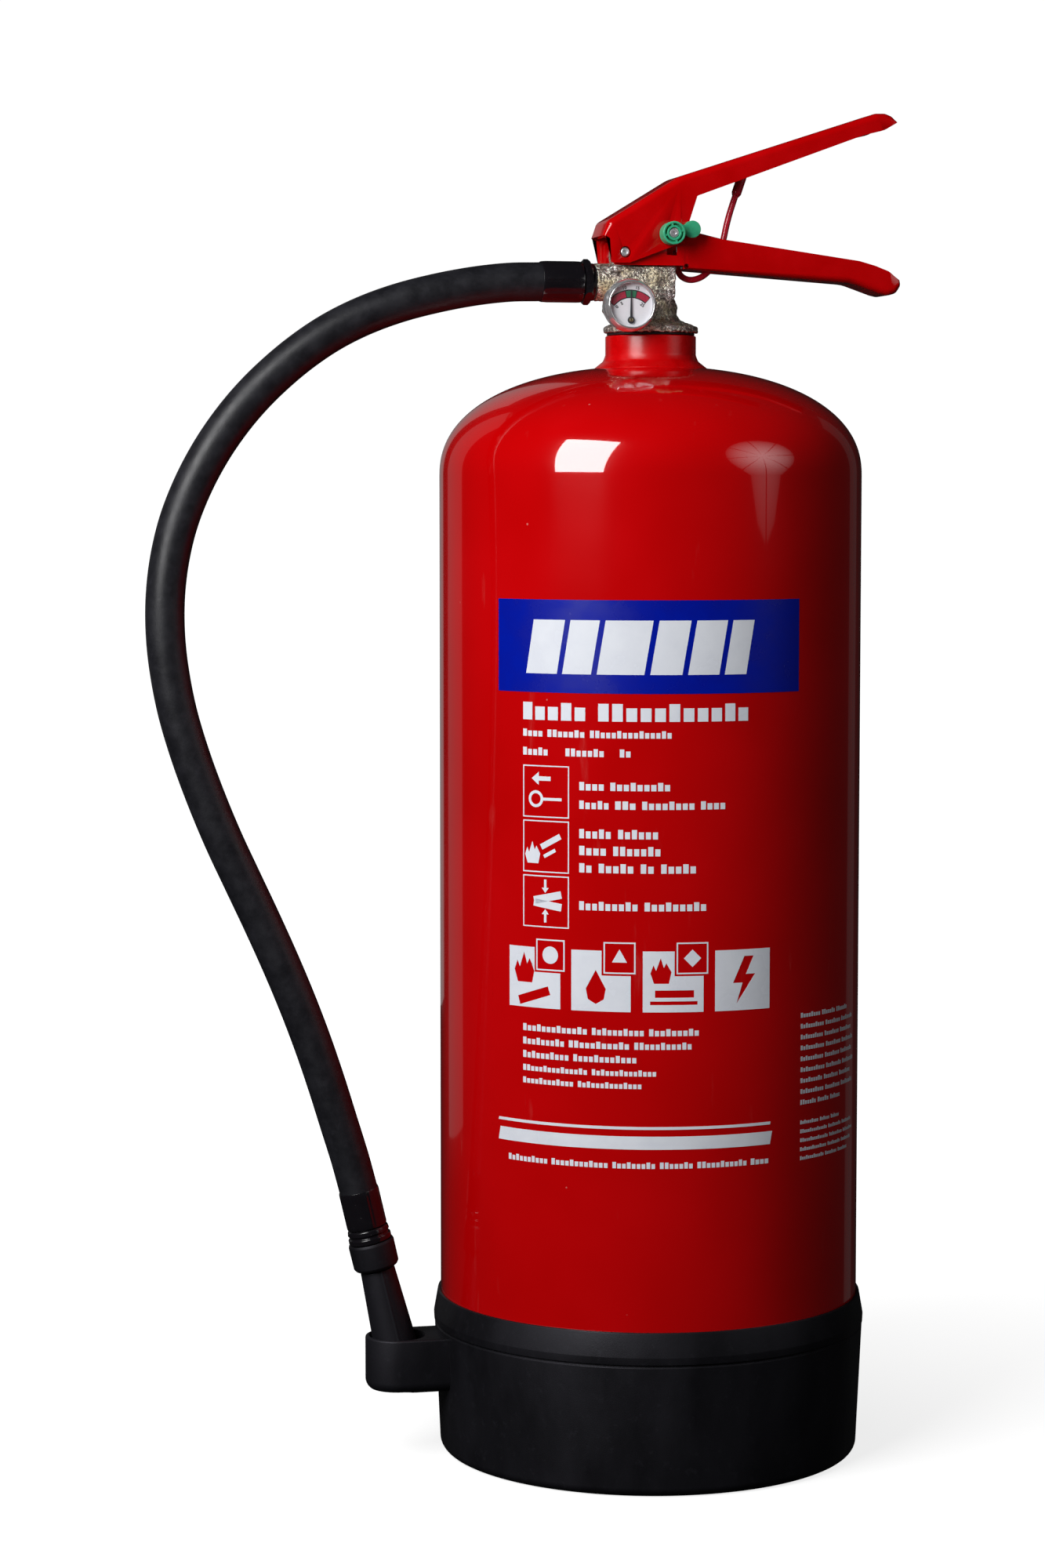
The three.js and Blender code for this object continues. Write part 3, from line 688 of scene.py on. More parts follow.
def prism(name, outline, low, high, place=None, holes=()):
    """A flat outline of (a, b[, radius]) points, and holes in it, as a plate from low to high."""
    bm = bmesh.new()
    edges = []
    for loop in (outline, *holes):
        verts = [bm.verts.new((p.x * MM, p.y * MM, low * MM)) for p in rounded(loop)]
        edges += [bm.edges.new((a, b)) for a, b in zip(verts, verts[1:] + verts[:1])]
    bmesh.ops.triangle_fill(bm, use_beauty=True, edges=edges)
    extruded = bmesh.ops.extrude_face_region(bm, geom=bm.faces[:])
    top = [v for v in extruded["geom"] if isinstance(v, bmesh.types.BMVert)]
    bmesh.ops.translate(bm, verts=top, vec=(0, 0, (high - low) * MM))
    return object_of(name, bm, place)


# A plate drawn in x and y stands in x and z, towards -Y.
UPRIGHT = Matrix.Rotation(math.pi / 2, 4, "X")


def apply_modifiers(made):
    bpy.context.view_layer.update()
    graph = bpy.context.evaluated_depsgraph_get()
    mesh = bpy.data.meshes.new_from_object(made.evaluated_get(graph))
    made.modifiers.clear()
    old, made.data = made.data, mesh
    bpy.data.meshes.remove(old)


def discard(made):
    mesh = made.data
    bpy.data.objects.remove(made)
    bpy.data.meshes.remove(mesh)


def boolean(made, others, operation):
    """Joins others to made or cuts them from it, and removes them."""
    for other in others:
        step = made.modifiers.new(operation, "BOOLEAN")
        step.operation = operation
        step.solver = "EXACT"
        step.object = other
    apply_modifiers(made)
    for other in others:
        discard(other)


def join(made, others):
    boolean(made, others, "UNION")


def cut(made, others):
    boolean(made, others, "DIFFERENCE")


def soften(made, width, segments=2, angle=50):
    """Rounds the sharp edges of a mesh."""
    step = made.modifiers.new("soften", "BEVEL")
    step.width = width * MM
    step.segments = segments
    step.limit_method = "ANGLE"
    step.angle_limit = math.radians(angle)
    step.use_clamp_overlap = True
    apply_modifiers(made)


def remesh(made, voxel, smoothing=4):
    """Makes one even skin of a mesh, as a casting has."""
    step = made.modifiers.new("remesh", "REMESH")
    step.mode = "VOXEL"
    step.voxel_size = voxel * MM
    step = made.modifiers.new("smooth", "SMOOTH")
    step.factor = 0.5
    step.iterations = smoothing
    apply_modifiers(made)


def roughen(made, size, depth):
    """Moves each vertex along its normal by a seeded noise."""
    places = [(vertex.co.copy(), vertex.normal.copy()) for vertex in made.data.vertices]
    for vertex, (where, normal) in zip(made.data.vertices, places):
        vertex.co = where + normal * noise.noise(where / (size * MM)) * depth * MM


def spline(points, per_step):
    """A smooth line through (x, z) points in the plane y = 0, in millimetres."""
    knots = [Vector((x, 0, z)) for x, z in points]
    knots = [2 * knots[0] - knots[1], *knots, 2 * knots[-1] - knots[-2]]
    line = []
    for a, b, c, d in zip(knots, knots[1:], knots[2:], knots[3:]):
        for i in range(per_step):
            t = i / per_step
            square, cube = 2 * a - 5 * b + 4 * c - d, 3 * b - a - 3 * c + d
            line.append(0.5 * (2 * b + (c - a) * t + square * t * t + cube * t**3))
    return [*line, knots[-2]]


def tube(name, line, radius, sides=32):
    """A closed tube along a line in the plane y = 0. radius is a number or a function of 0..1."""
    bm = bmesh.new()
    rings = []
    for i, point in enumerate(line):
        ahead = (line[min(i + 1, len(line) - 1)] - line[max(i - 1, 0)]).normalized()
        side = Vector((0, 1, 0))
        up = side.cross(ahead)
        r = radius(i / (len(line) - 1)) if callable(radius) else radius
        rings.append(
            [
                bm.verts.new((point + r * (side * math.cos(a) + up * math.sin(a))) * MM)
                for a in (math.tau * k / sides for k in range(sides))
            ]
        )
    skin(bm, rings)
    return object_of(name, bm)


def piece(made, body, material, stands_for=(), crease=38):
    """Shades a finished mesh, ties it to its body and hides the CAD nodes that it stands for."""
    made.data.materials.clear()
    made.data.materials.append(material)
    made.data.shade_smooth()
    made.data.set_sharp_from_angle(angle=math.radians(crease))
    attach(made, body)
    if stands_for:
        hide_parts(*stands_for)
    return made


def dress(node, material):
    """Gives a CAD node that is shown as it is a material."""
    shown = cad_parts[node]
    shown.data.materials.clear()
    shown.data.materials.append(material)


# ---- Cylinder and boot ----


def dome(radius, height, low, top_radius, count=40):
    """The upper dome, from the wall in to top_radius."""
    line = []
    for i in range(count + 1):
        r = top_radius + (radius - top_radius) * math.cos(math.pi / 2 * i / count)
        line.append((r, low + height * (1 - (r / radius) ** DOME_POWER) ** (1 / DOME_POWER)))
    return line


def bowl(radius, height, low, count=24):
    """The elliptical bottom, from the axis out to the wall."""
    angles = [math.pi / 2 * i / count for i in range(count + 1)]
    return [(radius * math.sin(a), low - height * math.cos(a)) for a in angles]


def make_cylinder():
    neck_hole = 16.5
    outer = bowl(SHELL_R, BASE_H, BASE_Z) + dome(SHELL_R, DOME_H, SHOULDER_Z, neck_hole)
    inside = SHELL_R - WALL
    inner = bowl(inside, BASE_H - WALL, BASE_Z) + dome(inside, DOME_H - WALL, SHOULDER_Z, neck_hole)
    shell = lathe("shell", outer + inner[::-1], sides=288)
    piece(shell, ROOT, RED, ["cylinder_shell"])

    neck_r, bore = 19.3, 15.3
    low, high = bottom_of("neck_ring"), top_of("neck_ring")
    foot = 465.2
    profile = [
        (bore, low), (22, foot - 0.6), (24.2, foot - 0.4), (23.9, foot + 0.4, 0.4), (20.3, 468.4, 2.5),
        (neck_r, 471, 2.5), (neck_r, high, 0.7), (bore, high),
    ]

    def bead(radius, height, angle):
        """The weld at the neck's foot ripples a little."""
        share = max(0.0, min(1.0, (469 - height) / 3)) if radius > neck_r + 0.2 else 0.0
        where = Vector((6 * math.cos(angle), 6 * math.sin(angle), height / 3))
        return radius + share * 0.28 * noise.noise(where)

    piece(lathe("neck", profile, sides=144, shape=bead), ROOT, NECK_RED, ["neck_ring"])


def stadium(radius, inset=0.0, steps=20):
    """The holder's plan: straight sides from inside the boot out to a round end about the hole's axis."""
    r = radius - inset
    end = [math.pi / 2 + math.pi * i / steps for i in range(steps + 1)]
    return [(-80.0, -r), (-80.0, r), *((HOLE_X + r * math.cos(a), r * math.sin(a)) for a in end)]


def make_holder(low, high, radius, bottom_round=5.0, top_round=0.9):
    """The holder's arm as a stack of plans, drawn in where its lower and upper edges are round."""
    layers = []
    for i in range(9):
        a = math.pi / 2 * i / 8
        layers.append((low + bottom_round * (1 - math.cos(a)), bottom_round * (1 - math.sin(a))))
    for i in range(5):
        a = math.pi / 2 * i / 4
        layers.append((high - top_round * (1 - math.sin(a)), top_round * (1 - math.cos(a))))
    bm = bmesh.new()
    loops = [
        [bm.verts.new((x * MM, y * MM, z * MM)) for x, y in stadium(radius, inset)] for z, inset in layers
    ]
    skin(bm, loops)
    return object_of("holder", bm)


def make_boot():
    groove_z = 55.4
    outer = [
        (0, 0), (81.5, 0), (90.1, 0, 9.5), (92.6, groove_z - 0.6, 0.2), (92.1, groove_z - 0.2, 0.1),
        (92.1, groove_z + 0.3, 0.1), (BELT_R - 0.15, groove_z + 0.8, 0.3), (BELT_R, 59.2, 0.8),
        (91.25, RIM_Z - 0.2, 0.35), (SHELL_R + 0.15, RIM_Z, 0.15), (SHELL_R + 0.15, 50), (88.2, 30),
        (87.2, 8, 2), (84, 5, 2), (0, 5),
    ]
    boot = lathe("boot", outer, sides=288)
    join(boot, [make_holder(30.0, 53.5, 13.7)])
    socket = [(0, 20), (11.6, 20), (11.6, 50), (11.9, 53.0), (12.9, 54.6), (0, 54.6)]
    hole = lathe("hole", socket, sides=96)
    hole.data.transform(Matrix.Translation(Vector((HOLE_X, 0, 0)) * MM))
    cut(boot, [hole])
    piece(boot, ROOT, BOOT, ["base_boot"], crease=32)


# ---- Valve ----


def make_valve():
    z0 = FLANGE_Z
    outline = [
        (0, 460), (14.9, 460), (14.9, z0), (20, z0, 0.4), (20, z0 + 2.4, 0.9), (17.2, z0 + 3.6, 1.5),
        (12.4, z0 + 5.2, 3), (11.0, z0 + 8, 2.5), (11.3, 491.8, 1.5), (9.6, 495.4, 2),
        (9.5, 508.3, 0.5), (0, 508.3),
    ]
    body = lathe("valve", outline, sides=96)
    barrel = rod("barrel", 7.9, -2, 25.1, 64, PORT, edge=0.6)
    plate = prism(
        "plate", [(-20, -8.3, 1), (9.6, -8.3, 2), (9.6, 8.3, 2), (-20, 8.3, 1)], 505.9, 508.3
    )
    lug_side = [(-17.3, 501.7), (-5.6, 501.7), (-5.6, 521.5, 2), (-14, 521.5, 2), (-17.3, 518, 2)]
    lug = prism("lug", lug_side, -4.6, 4.6, UPRIGHT)
    cheek = prism("cheek", [(-14, 487, 3), (8.6, 494, 3), (8.6, 507), (-14, 507)], -2, 9.0, UPRIGHT)
    boss = rod("boss", 6, -2, 15, 48, GAUGE, edge=0.8)
    neck = rod("neck_of_boss", 6.6, -2, 9.2, 48, along_y(GAUGE_X + 1, GAUGE_Z + 3), edge=1.5)
    join(body, [barrel, plate, lug, cheek, boss, neck])
    bores = [
        rod("chamber", 8, 455, 490.5),
        rod("throat", 4.6, 489, PORT_Z),
        rod("stem_bore", 2.6, PORT_Z, 515),
        rod("gland_seat", 5.2, 510.2, 515),
        rod("port_bore", 4.6, 0, 30, 48, PORT),
        rod("pivot_bore", 2.2, -12, 12, 32, along_y(PIVOT.x, PIVOT.z)),
    ]
    cut(body, bores)
    remesh(body, 0.36, smoothing=5)
    roughen(body, 2.6, 0.22)
    roughen(body, 1.3, 0.3)
    piece(body, ROOT, VALVE, ["valve_body"], crease=80)

    low, high = bottom_of("valve_gasket"), top_of("valve_gasket")
    gasket = ring("gasket", 15.3, 18.7, low, high, 96, edge=0.35)
    piece(gasket, ROOT, SEAL, ["valve_gasket"])


def make_spring():
    """The stem's return spring: five even coils."""
    low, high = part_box("valve_spring")
    radius, wire = (high.x - low.x) / (2 * MM) - 0.55, 0.55
    bottom, top = low.z / MM + wire, high.z / MM - wire
    turns, steps = 5, 200
    bm = bmesh.new()
    rings = []
    for i in range(steps + 1):
        t = i / steps
        a = math.tau * turns * t
        out = Vector((math.cos(a), math.sin(a), 0))
        centre = out * radius + Vector((0, 0, bottom + (top - bottom) * t))
        up = Vector((0, 0, 1))
        angles = (math.tau * k / 10 for k in range(10))
        round_wire = (centre + wire * (out * math.cos(b) + up * math.sin(b)) for b in angles)
        rings.append([bm.verts.new(point * MM) for point in round_wire])
    skin(bm, rings)
    spring = piece(object_of("return_spring", bm), ROOT, STEEL, ["valve_spring"])
    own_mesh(spring)


# ---- Handles ----

CROSS = 20  # how far a cutter reaches to each side, past the widest handle
PIN_SLOT_TURN = math.radians(24.6)  # the pin's slot in the carry handle, about the pivot
PIN_SLOT_HALF = 2.35


def outline_of(web, free):
    """The closed outline of a pressed channel's side: (point, whether it is on the web)."""
    corners = [(*p, True) for p in web] + [(*p, False) for p in free]
    line = []
    for i, (x, z, radius, on_web) in enumerate(corners):
        corner = Vector((x, z))
        if not radius:
            line.append((corner, on_web))
            continue
        before, after = Vector(corners[i - 1][:2]), Vector(corners[(i + 1) % len(corners)][:2])
        line.extend((p, on_web) for p in corner_arc(before, corner, after, radius))
    return line


def inward_of(line):
    """How each point of a closed outline moves when its sides move inward by 1. The web's two end
    points move square to the web."""
    count = len(line)
    area = sum(a.x * b.y - b.x * a.y for (a, _), (b, _) in zip(line, line[1:] + line[:1]))
    sign = 1 if area > 0 else -1
    moves = []
    for i, (point, on_web) in enumerate(line):
        before, after = line[i - 1], line[(i + 1) % count]
        ahead, behind = after[0] - point, point - before[0]
        normals = [sign * Vector((-d.y, d.x)).normalized() for d in (behind, ahead) if d.length > 1e-6]
        if on_web and not before[1]:
            normals = normals[-1:]
        if on_web and not after[1]:
            normals = normals[:1]
        total = sum(normals, Vector((0, 0)))
        if len(normals) == 2:
            total = total / max(0.35, 1 + normals[0].dot(normals[1]))
        moves.append(total)
    return moves


def web_shares(line, fade):
    """How much of the bend's rounding each web point takes: less within fade of the web's ends."""
    walked, total = [], 0.0
    previous = None
    for point, on_web in line:
        if on_web and previous is not None:
            total += (point - previous).length
        previous = point if on_web else None
        walked.append(total)
    return [
        min(1.0, 0.3 + 0.7 * min(s, total - s) / fade) if on_web else 0.0
        for s, (_, on_web) in zip(walked, line)
    ]


def channel_solid(name, line, half, bend, depth=0.0, spread=0.0, steps=7):
    """The outline as a solid 2 x half wide with round edges along its web. depth moves the web inward and
    spread moves the rest outward."""
    moves, shares = inward_of(line), web_shares(line, 5.0)
    angles = [math.pi / 2 * k / steps for k in range(steps + 1)]
    side = [(half - bend * (1 - math.cos(a)), bend * (1 - math.sin(a))) for a in angles]
    layers = [(-y, inset) for y, inset in side] + [(y, inset) for y, inset in reversed(side)]
    bm = bmesh.new()
    loops = []
    for y, inset in layers:
        loop = []
        for (point, on_web), move, share in zip(line, moves, shares):
            moved = point + move * (depth + inset * share if on_web else -spread)
            loop.append(bm.verts.new((moved.x * MM, y * MM, moved.y * MM)))
        loops.append(loop)
    bmesh.ops.triangulate(bm, faces=skin(bm, loops))
    return object_of(name, bm)


def cross_hole(name, radius, centre):
    """A cutter along Y that goes through both cheeks of a handle."""
    return rod(name, radius, -CROSS, CROSS, 32, along_y(centre.x, centre.z))


def channel(name, web, free, half, bend, sheet):
    """A channel pressed from sheet, open along its free edge."""
    line = outline_of(web, free)
    made = channel_solid(name, line, half, bend)
    cut(made, [channel_solid("hollow", line, half - sheet, bend - sheet, sheet, 1.0)])
    return made


def make_carry_handle():
    half, sheet = 9.9, 1.6
    web = [
        (14.3, 507.2, 0), (87.1, 502.2, 16), (99.9, 497.8, 6), (103, 497.1, 4), (106.9, 498.1, 3.4),
        (109, 501.5, 3.2), (108.3, 503.8, 0),
    ]
    free = [
        (103, 507.4, 6), (96.9, 509.7, 12), (89.9, 511.6, 12), (28.4, 520, 14), (19.4, 521.9, 4),
        (12.2, 526.4, 3), (-12, 522.4, 3), (-18.5, 518, 1.5), (-18.5, 508.6, 0.8), (11.9, 508.6, 0),
        (11.9, 507.2, 0),
    ]
    handle = channel("carry_handle_sheet", web, free, half, 2.8, sheet)
    slot = prism("slot", [(22, -3, 2.9), (31, -3, 2.9), (31, 3, 2.9), (22, 3, 2.9)], 500, 512)
    pivot = cross_hole("pivot_hole", 2.2, PIVOT)
    rivet_hole = cross_hole("rivet_hole", 1.8, middle("handle_rivet"))
    arm = Vector((PIN.x - PIVOT.x, PIN.z - PIVOT.z))
    sweep = [turn_by(arm, -PIN_SLOT_TURN * i / 12) for i in range(13)]
    wide = PIN_SLOT_HALF / arm.length
    outline = [p * (1 + wide) for p in sweep] + [p * (1 - wide) for p in reversed(sweep)]
    centre = Vector((PIVOT.x, PIVOT.z))
    pin_slot = prism("pin_slot", [tuple(centre + p) for p in outline], -CROSS, CROSS, UPRIGHT)
    pin_end = cross_hole("pin_end", 2.6, PIN)
    notch = cross_hole("notch", 1.15, Vector((13.1, 0, 508.3)))
    cut(handle, [slot, pivot, rivet_hole, pin_slot, pin_end, notch])
    soften(handle, 0.32, 2, 55)
    piece(handle, ROOT, SHEET_RED, ["carry_handle"], crease=50)


def make_lever():
    half, sheet = 11.9, 1.6
    web = [
        (-23.6, 520.8, 0), (-21.6, 527, 3.6), (9.1, 545.7, 12), (96.5, 574.2, 4), (100.7, 574.3, 3.4),
        (103.6, 573.2, 3), (106, 570.8, 0),
    ]
    free = [
        (100, 567, 8), (90.9, 564.8, 10), (17.1, 537.8, 1.2), (13.8, 527.5, 0), (10.6, 518, 1.5),
        (-12.3, 509.4, 1), (-20.2, 509.3, 0.8), (-20.9, 519.6, 0),
    ]
    lever = channel("lever_sheet", web, free, half, 3.0, sheet)
    cut(lever, [cross_hole("pivot_hole", 2.4, PIVOT), cross_hole("pin_hole", 2.4, PIN)])
    soften(lever, 0.32, 2, 55)
    piece(lever, "lever", SHEET_RED, ["squeeze_lever"], crease=50)


def make_rivets():
    """Headless rivets: a rounded end with a punched dimple on each side."""
    for node, name in (("pivot_rivet", "pivot_pin"), ("handle_rivet", "frame_rivet")):
        low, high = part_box(node)
        r, reach = (high.x - low.x) / (2 * MM), high.y / MM
        centre = middle(node)
        dimple = 0.45 * r
        profile = [
            (0, -reach + 0.5), (dimple, -reach + 0.4, 0.2), (dimple + 0.25, -reach, 0.15),
            (r, -reach + 0.25, 0.5), (r, reach - 0.25, 0.5), (dimple + 0.25, reach, 0.15),
            (dimple, reach - 0.4, 0.2), (0, reach - 0.5),
        ]
        piece(lathe(name, profile, 48, along_y(centre.x, centre.z)), ROOT, STEEL, [node])


# ---- Safety pin and seal strap ----


def make_safety_pin():
    low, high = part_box("safety_pin_head")
    inner, face = -high.y / MM, -low.y / MM
    rod_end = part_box("safety_pin_rod")[1].y / MM
    pin_r = 2.1
    profile = [
        (0, -rod_end), (1.2, -rod_end, 0.5), (pin_r, -rod_end + 1.4, 0.8), (pin_r, face - 0.7, 0.3),
        (1.8, face - 0.35, 0.2), (0.9, face - 0.25, 0.2), (0.6, face - 0.7, 0.1), (0, face - 0.75),
    ]
    piece(lathe("pin_rod", profile, 48, PIN_HEAD), "safety_pin", STEEL, ["safety_pin_rod"])

    hub_r, bore = 4.9, pin_r + 0.15
    hub = lathe(
        "pin_hub",
        [
            (bore, inner), (hub_r - 0.1, inner, 0.4), (hub_r, face, 0.7), (4.0, face, 0.15),
            (3.95, face - 1.7, 0.1), (3.15, face - 1.7, 0.1), (3.1, face, 0.15), (bore, face, 0.2),
        ],
        96,
    )
    spokes = []
    for i in range(4):
        bar = [(2.9, -0.4), (4.2, -0.4), (4.2, 0.4), (2.9, 0.4)]
        spoke = prism("spoke", bar, face - 1.9, face - 0.12)
        spoke.data.transform(Matrix.Rotation(math.radians(15 + 90 * i), 4, "Z"))
        spokes.append(spoke)
    angles = [math.radians(-150 + 300 * i / 24) for i in range(25)]
    tip = [(9.0 + 3.6 * math.cos(a), 1.9 + 3.6 * math.sin(a)) for a in angles]
    lobe = prism("lobe", [(0, -1), (4.9, -0.3), *tip, (4.9, 3.7), (0, 4)], inner, inner + 3)
    soften(lobe, 0.5, 3, 50)
    core = rod("core", bore, inner - 1, inner + 4)
    cut(lobe, [core])
    join(hub, [*spokes, lobe])
    soften(hub, 0.12, 2, 50)
    hub.data.transform(PIN_HEAD)
    piece(hub, "safety_pin", GREEN, ["safety_pin_head"], crease=45)


def make_strap():
    """The seal's plastic strap, thin and round, with its locking barrel under the lever."""
    line = spline(STRAP_ROUTE, 6)
    strap = tube("seal_strap", line, lambda t: STRAP_R if t > 0.03 else 0.9 * STRAP_R, 20)
    lean = math.radians(19)
    top = Vector((STRAP_ROUTE[0][0], 0, STRAP_ROUTE[0][1]))
    place = Matrix.Translation(top * MM) @ Matrix.Rotation(lean, 4, "Y")
    lock = [(0, -3), (1.5, -3, 0.4), (2.1, -1.6, 0.5), (2.1, 9, 0.5), (0, 9)]
    barrel = lathe("barrel", lock, 32, place)
    join(strap, [barrel])
    strap.data.materials.append(STRAP_RED)
    strap.data.shade_smooth()
    strap.data.set_sharp_from_angle(angle=math.radians(50))
    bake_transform(strap)
    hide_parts("tamper_seal_strap")


# ---- Gauge ----


NEEDLE_DROP = 6.3  # the needle axis below the gauge axis
DIAL_FACE = 24.6  # out along the gauge axis


def dial_arc(name, inner, outer, start, end, level, thick=0.05, steps=14):
    """A band of the dial's scale about the needle's axis. Angles are in degrees from straight up."""
    angles = [math.radians(start + (end - start) * i / steps) for i in range(steps + 1)]
    out = [(outer * math.sin(a), outer * math.cos(a) - NEEDLE_DROP) for a in angles]
    back = [(inner * math.sin(a), inner * math.cos(a) - NEEDLE_DROP) for a in reversed(angles)]
    return prism(name, out + back, level, level + thick, GAUGE)


def make_gauge():
    case = [
        (3.3, 18.7), (9.9, 18.7, 0.6), (10.4, 19.4, 0.4), (10.4, 22.7), (9.7, 22.7), (9.7, 19.4),
        (3.3, 19.4),
    ]
    piece(lathe("gauge_can", case, 96, GAUGE), ROOT, CHROME, ["gauge_case"])
    bezel = [
        (10.6, 19.2, 0.2), (10.9, 19.2, 0.3), (11.1, 20.8, 1.2), (11.1, 24.2, 1.2), (10.5, 26.4, 1.4),
        (9.9, 27.1, 0.4), (9.4, 27.1, 0.3), (9.15, 26.6, 0.2), (9.2, 26.4), (9.8, 26.3),
        (9.8, 23.6), (10.6, 23),
    ]
    piece(lathe("gauge_rim", bezel, 128, GAUGE), ROOT, CHROME, ["gauge_bezel"])
    lens = [(0, 25.85), (9.5, 25.65), (9.5, 26.2, 0.2), (6, 26.4), (3, 26.47), (0, 26.5)]
    piece(lathe("gauge_window", lens, 96, GAUGE), ROOT, GLASS, ["gauge_lens"])

    plate = rod("gauge_face", 9.5, DIAL_FACE - 0.6, DIAL_FACE, 96, GAUGE, edge=0.1)
    hole_place = GAUGE @ Matrix.Translation(Vector((0, -NEEDLE_DROP, 0)) * MM)
    cut(plate, [rod("arbor_hole", 0.9, 20, 26, 24, hole_place)])
    piece(plate, ROOT, DIAL, ["gauge_dial"])

    level = DIAL_FACE + 0.01
    bands = [(-50.7, -11.3, DIAL_RED), (-11.3, 12.2, DIAL_GREEN), (12.2, 40.8, DIAL_RED)]
    for i, (start, end, ink) in enumerate(bands):
        piece(dial_arc(f"dial_band_{i}", 9.6, 12.25, start, end, level), ROOT, ink)
    outline = dial_arc("dial_outline", 9.15, 12.7, -51.8, 42.0, level - 0.03)
    marks = [outline]
    for angle in (-11.3, 12.2):
        marks.append(dial_arc("tick", 9.4, 12.4, angle - 0.9, angle + 0.9, level + 0.03, steps=1))
    numbers = (
        ("0", -48, 8.1), ("5", -30, 7.9), ("10", -12, 13.6), ("15", 12, 13.6), ("25", 38, 8.0)
    )
    for text, angle, radius in numbers:
        marks.append(number(text, math.radians(angle), radius, level))
    for mark in marks[1:]:
        merge(outline, mark)
    piece(outline, ROOT, DIAL_BLACK)


def merge(made, other):
    """Adds other's mesh to made's and removes other."""
    bm = bmesh.new()
    bm.from_mesh(made.data)
    bm.from_mesh(other.data)
    bm.to_mesh(made.data)
    bm.free()
    discard(other)


def number(text, angle, radius, level):
    """A small number on the dial, upright about the needle's axis."""
    curve = bpy.data.curves.new("number", "FONT")
    curve.body = text
    curve.size = 1.9 * MM
    curve.offset = 0.06 * MM
    curve.align_x, curve.align_y = "CENTER", "CENTER"
    curve.extrude = 0.02 * MM
    made = bpy.data.objects.new("number_curve", curve)
    SCENE.collection.objects.link(made)
    bpy.context.view_layer.update()
    mesh = bpy.data.meshes.new_from_object(made.evaluated_get(bpy.context.evaluated_depsgraph_get()))
    bpy.data.objects.remove(made)
    where = Vector((radius * math.sin(angle), radius * math.cos(angle) - NEEDLE_DROP, level + 0.02)) * MM
    mesh.transform(GAUGE @ Matrix.Translation(where) @ Matrix.Rotation(-angle, 4, "Z"))
    text_object = bpy.data.objects.new("number", mesh)
    SCENE.collection.objects.link(text_object)
    return text_object


def make_needle():
    place = GAUGE @ Matrix.Translation(Vector((0, -NEEDLE_DROP, 0)) * MM)
    blade = prism(
        "gauge_pointer",
        [(-0.5, -1.4), (0.5, -1.4), (0.42, 3), (0.16, 12.2), (-0.16, 12.2), (-0.42, 3)], 24.95, 25.2,
    )
    join(blade, [rod("needle_hub", 1.5, 24.92, 25.28, 48)])
    cut(blade, [rod("needle_bore", 0.8, 20, 26, 32)])
    soften(blade, 0.05, 1, 60)
    blade.data.transform(place)
    piece(blade, "gauge_pointer", NEEDLE, ["gauge_needle"])
    cap = [
        (0, 21.3), (0.55, 21.3), (0.55, 25.3), (0.85, 25.3, 0.1), (0.85, 25.5, 0.12), (0.45, 25.6, 0.1),
        (0.3, 25.55, 0.05), (0, 25.55),
    ]
    piece(lathe("pointer_cap", cap, 48, place), "gauge_pointer", BRASS, ["gauge_arbor"])


# ---- Hose, its fittings and the nozzle ----


def ridged(amount, low, high, count=8):
    """A radius function for crimp ridges between two heights, from the swaging jaws."""

    def shape(radius, height, angle):
        along = max(0.0, min(1.0, min(height - low, high - height) / 0.6))
        share = (angle * count / math.tau + 0.35) % 1.0
        near = max(0.0, 1 - abs(share - 0.5) * count * 0.75)
        return radius + amount * along * near if radius > 8 else radius

    return shape


def ferrule(name, low, high, mouth, radius, place):
    """A swaged sleeve. mouth is the end that the hose goes into, 'low' or 'high'."""
    deep = 3.2
    inner = HOSE_R + 0.1
    body = [(radius - 0.15, low, 0.4), (radius, low + 0.8)]
    steps = 9
    body += [(radius, low + 0.8 + (high - low - 1.6) * i / steps) for i in range(1, steps)]
    body += [(radius, high - 0.8), (radius - 0.15, high, 0.4)]
    if mouth == "high":
        rest = [(inner, high), (inner, high - deep), (4.6, high - deep), (4.6, low)]
    else:
        rest = [(4.6, high), (4.6, low + deep), (inner, low + deep), (inner, low)]
    return lathe(name, body + rest, 192, place, ridged(0.26, low + 0.4, high - 0.6))


def make_hose():
    extra = 2.6
    line = spline(HOSE_ROUTE, 6)
    start = line[0] + (line[0] - line[1]).normalized() * extra
    end = line[-1] + (line[-1] - line[-2]).normalized() * extra
    path = [start, *line, end]
    hose = tube("discharge_hose", path, HOSE_R, 48)
    hose.data.materials.append(RUBBER)
    hose.data.shade_smooth()
    hose.data.set_sharp_from_angle(angle=math.radians(60))
    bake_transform(hose)
    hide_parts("hose")


def make_fittings():
    nut_low, nut_high = 25.4, 30.2
    collar = lathe("nut", [(6.8, nut_low), (7.9, nut_low, 0.3), (7.9, 27.3), (6.8, 27.3)], 96)
    corners = [(9.7 * math.cos(a), 9.7 * math.sin(a)) for a in (math.pi * k / 3 for k in range(6))]
    hexagon = prism("hexagon", corners, 27.0, nut_high)
    round_edges = [
        (4.7, 26.9), (8.7, 26.9), (9.8, 27.8, 0.4), (9.8, 29.4, 0.4), (8.7, 30.3), (4.7, 30.3)
    ]
    chamfer = lathe("chamfer", round_edges, 96)
    boolean(hexagon, [chamfer], "INTERSECT")
    join(collar, [hexagon])
    soften(collar, 0.16, 2, 25)
    collar.data.transform(PORT)
    piece(collar, ROOT, BLACK, ["hose_nut"], crease=30)
    upper = ferrule("upper_ferrule", 30.5, 48.4, "high", 8.6, PORT)
    piece(upper, ROOT, BLACK, ["hose_ferrule"])


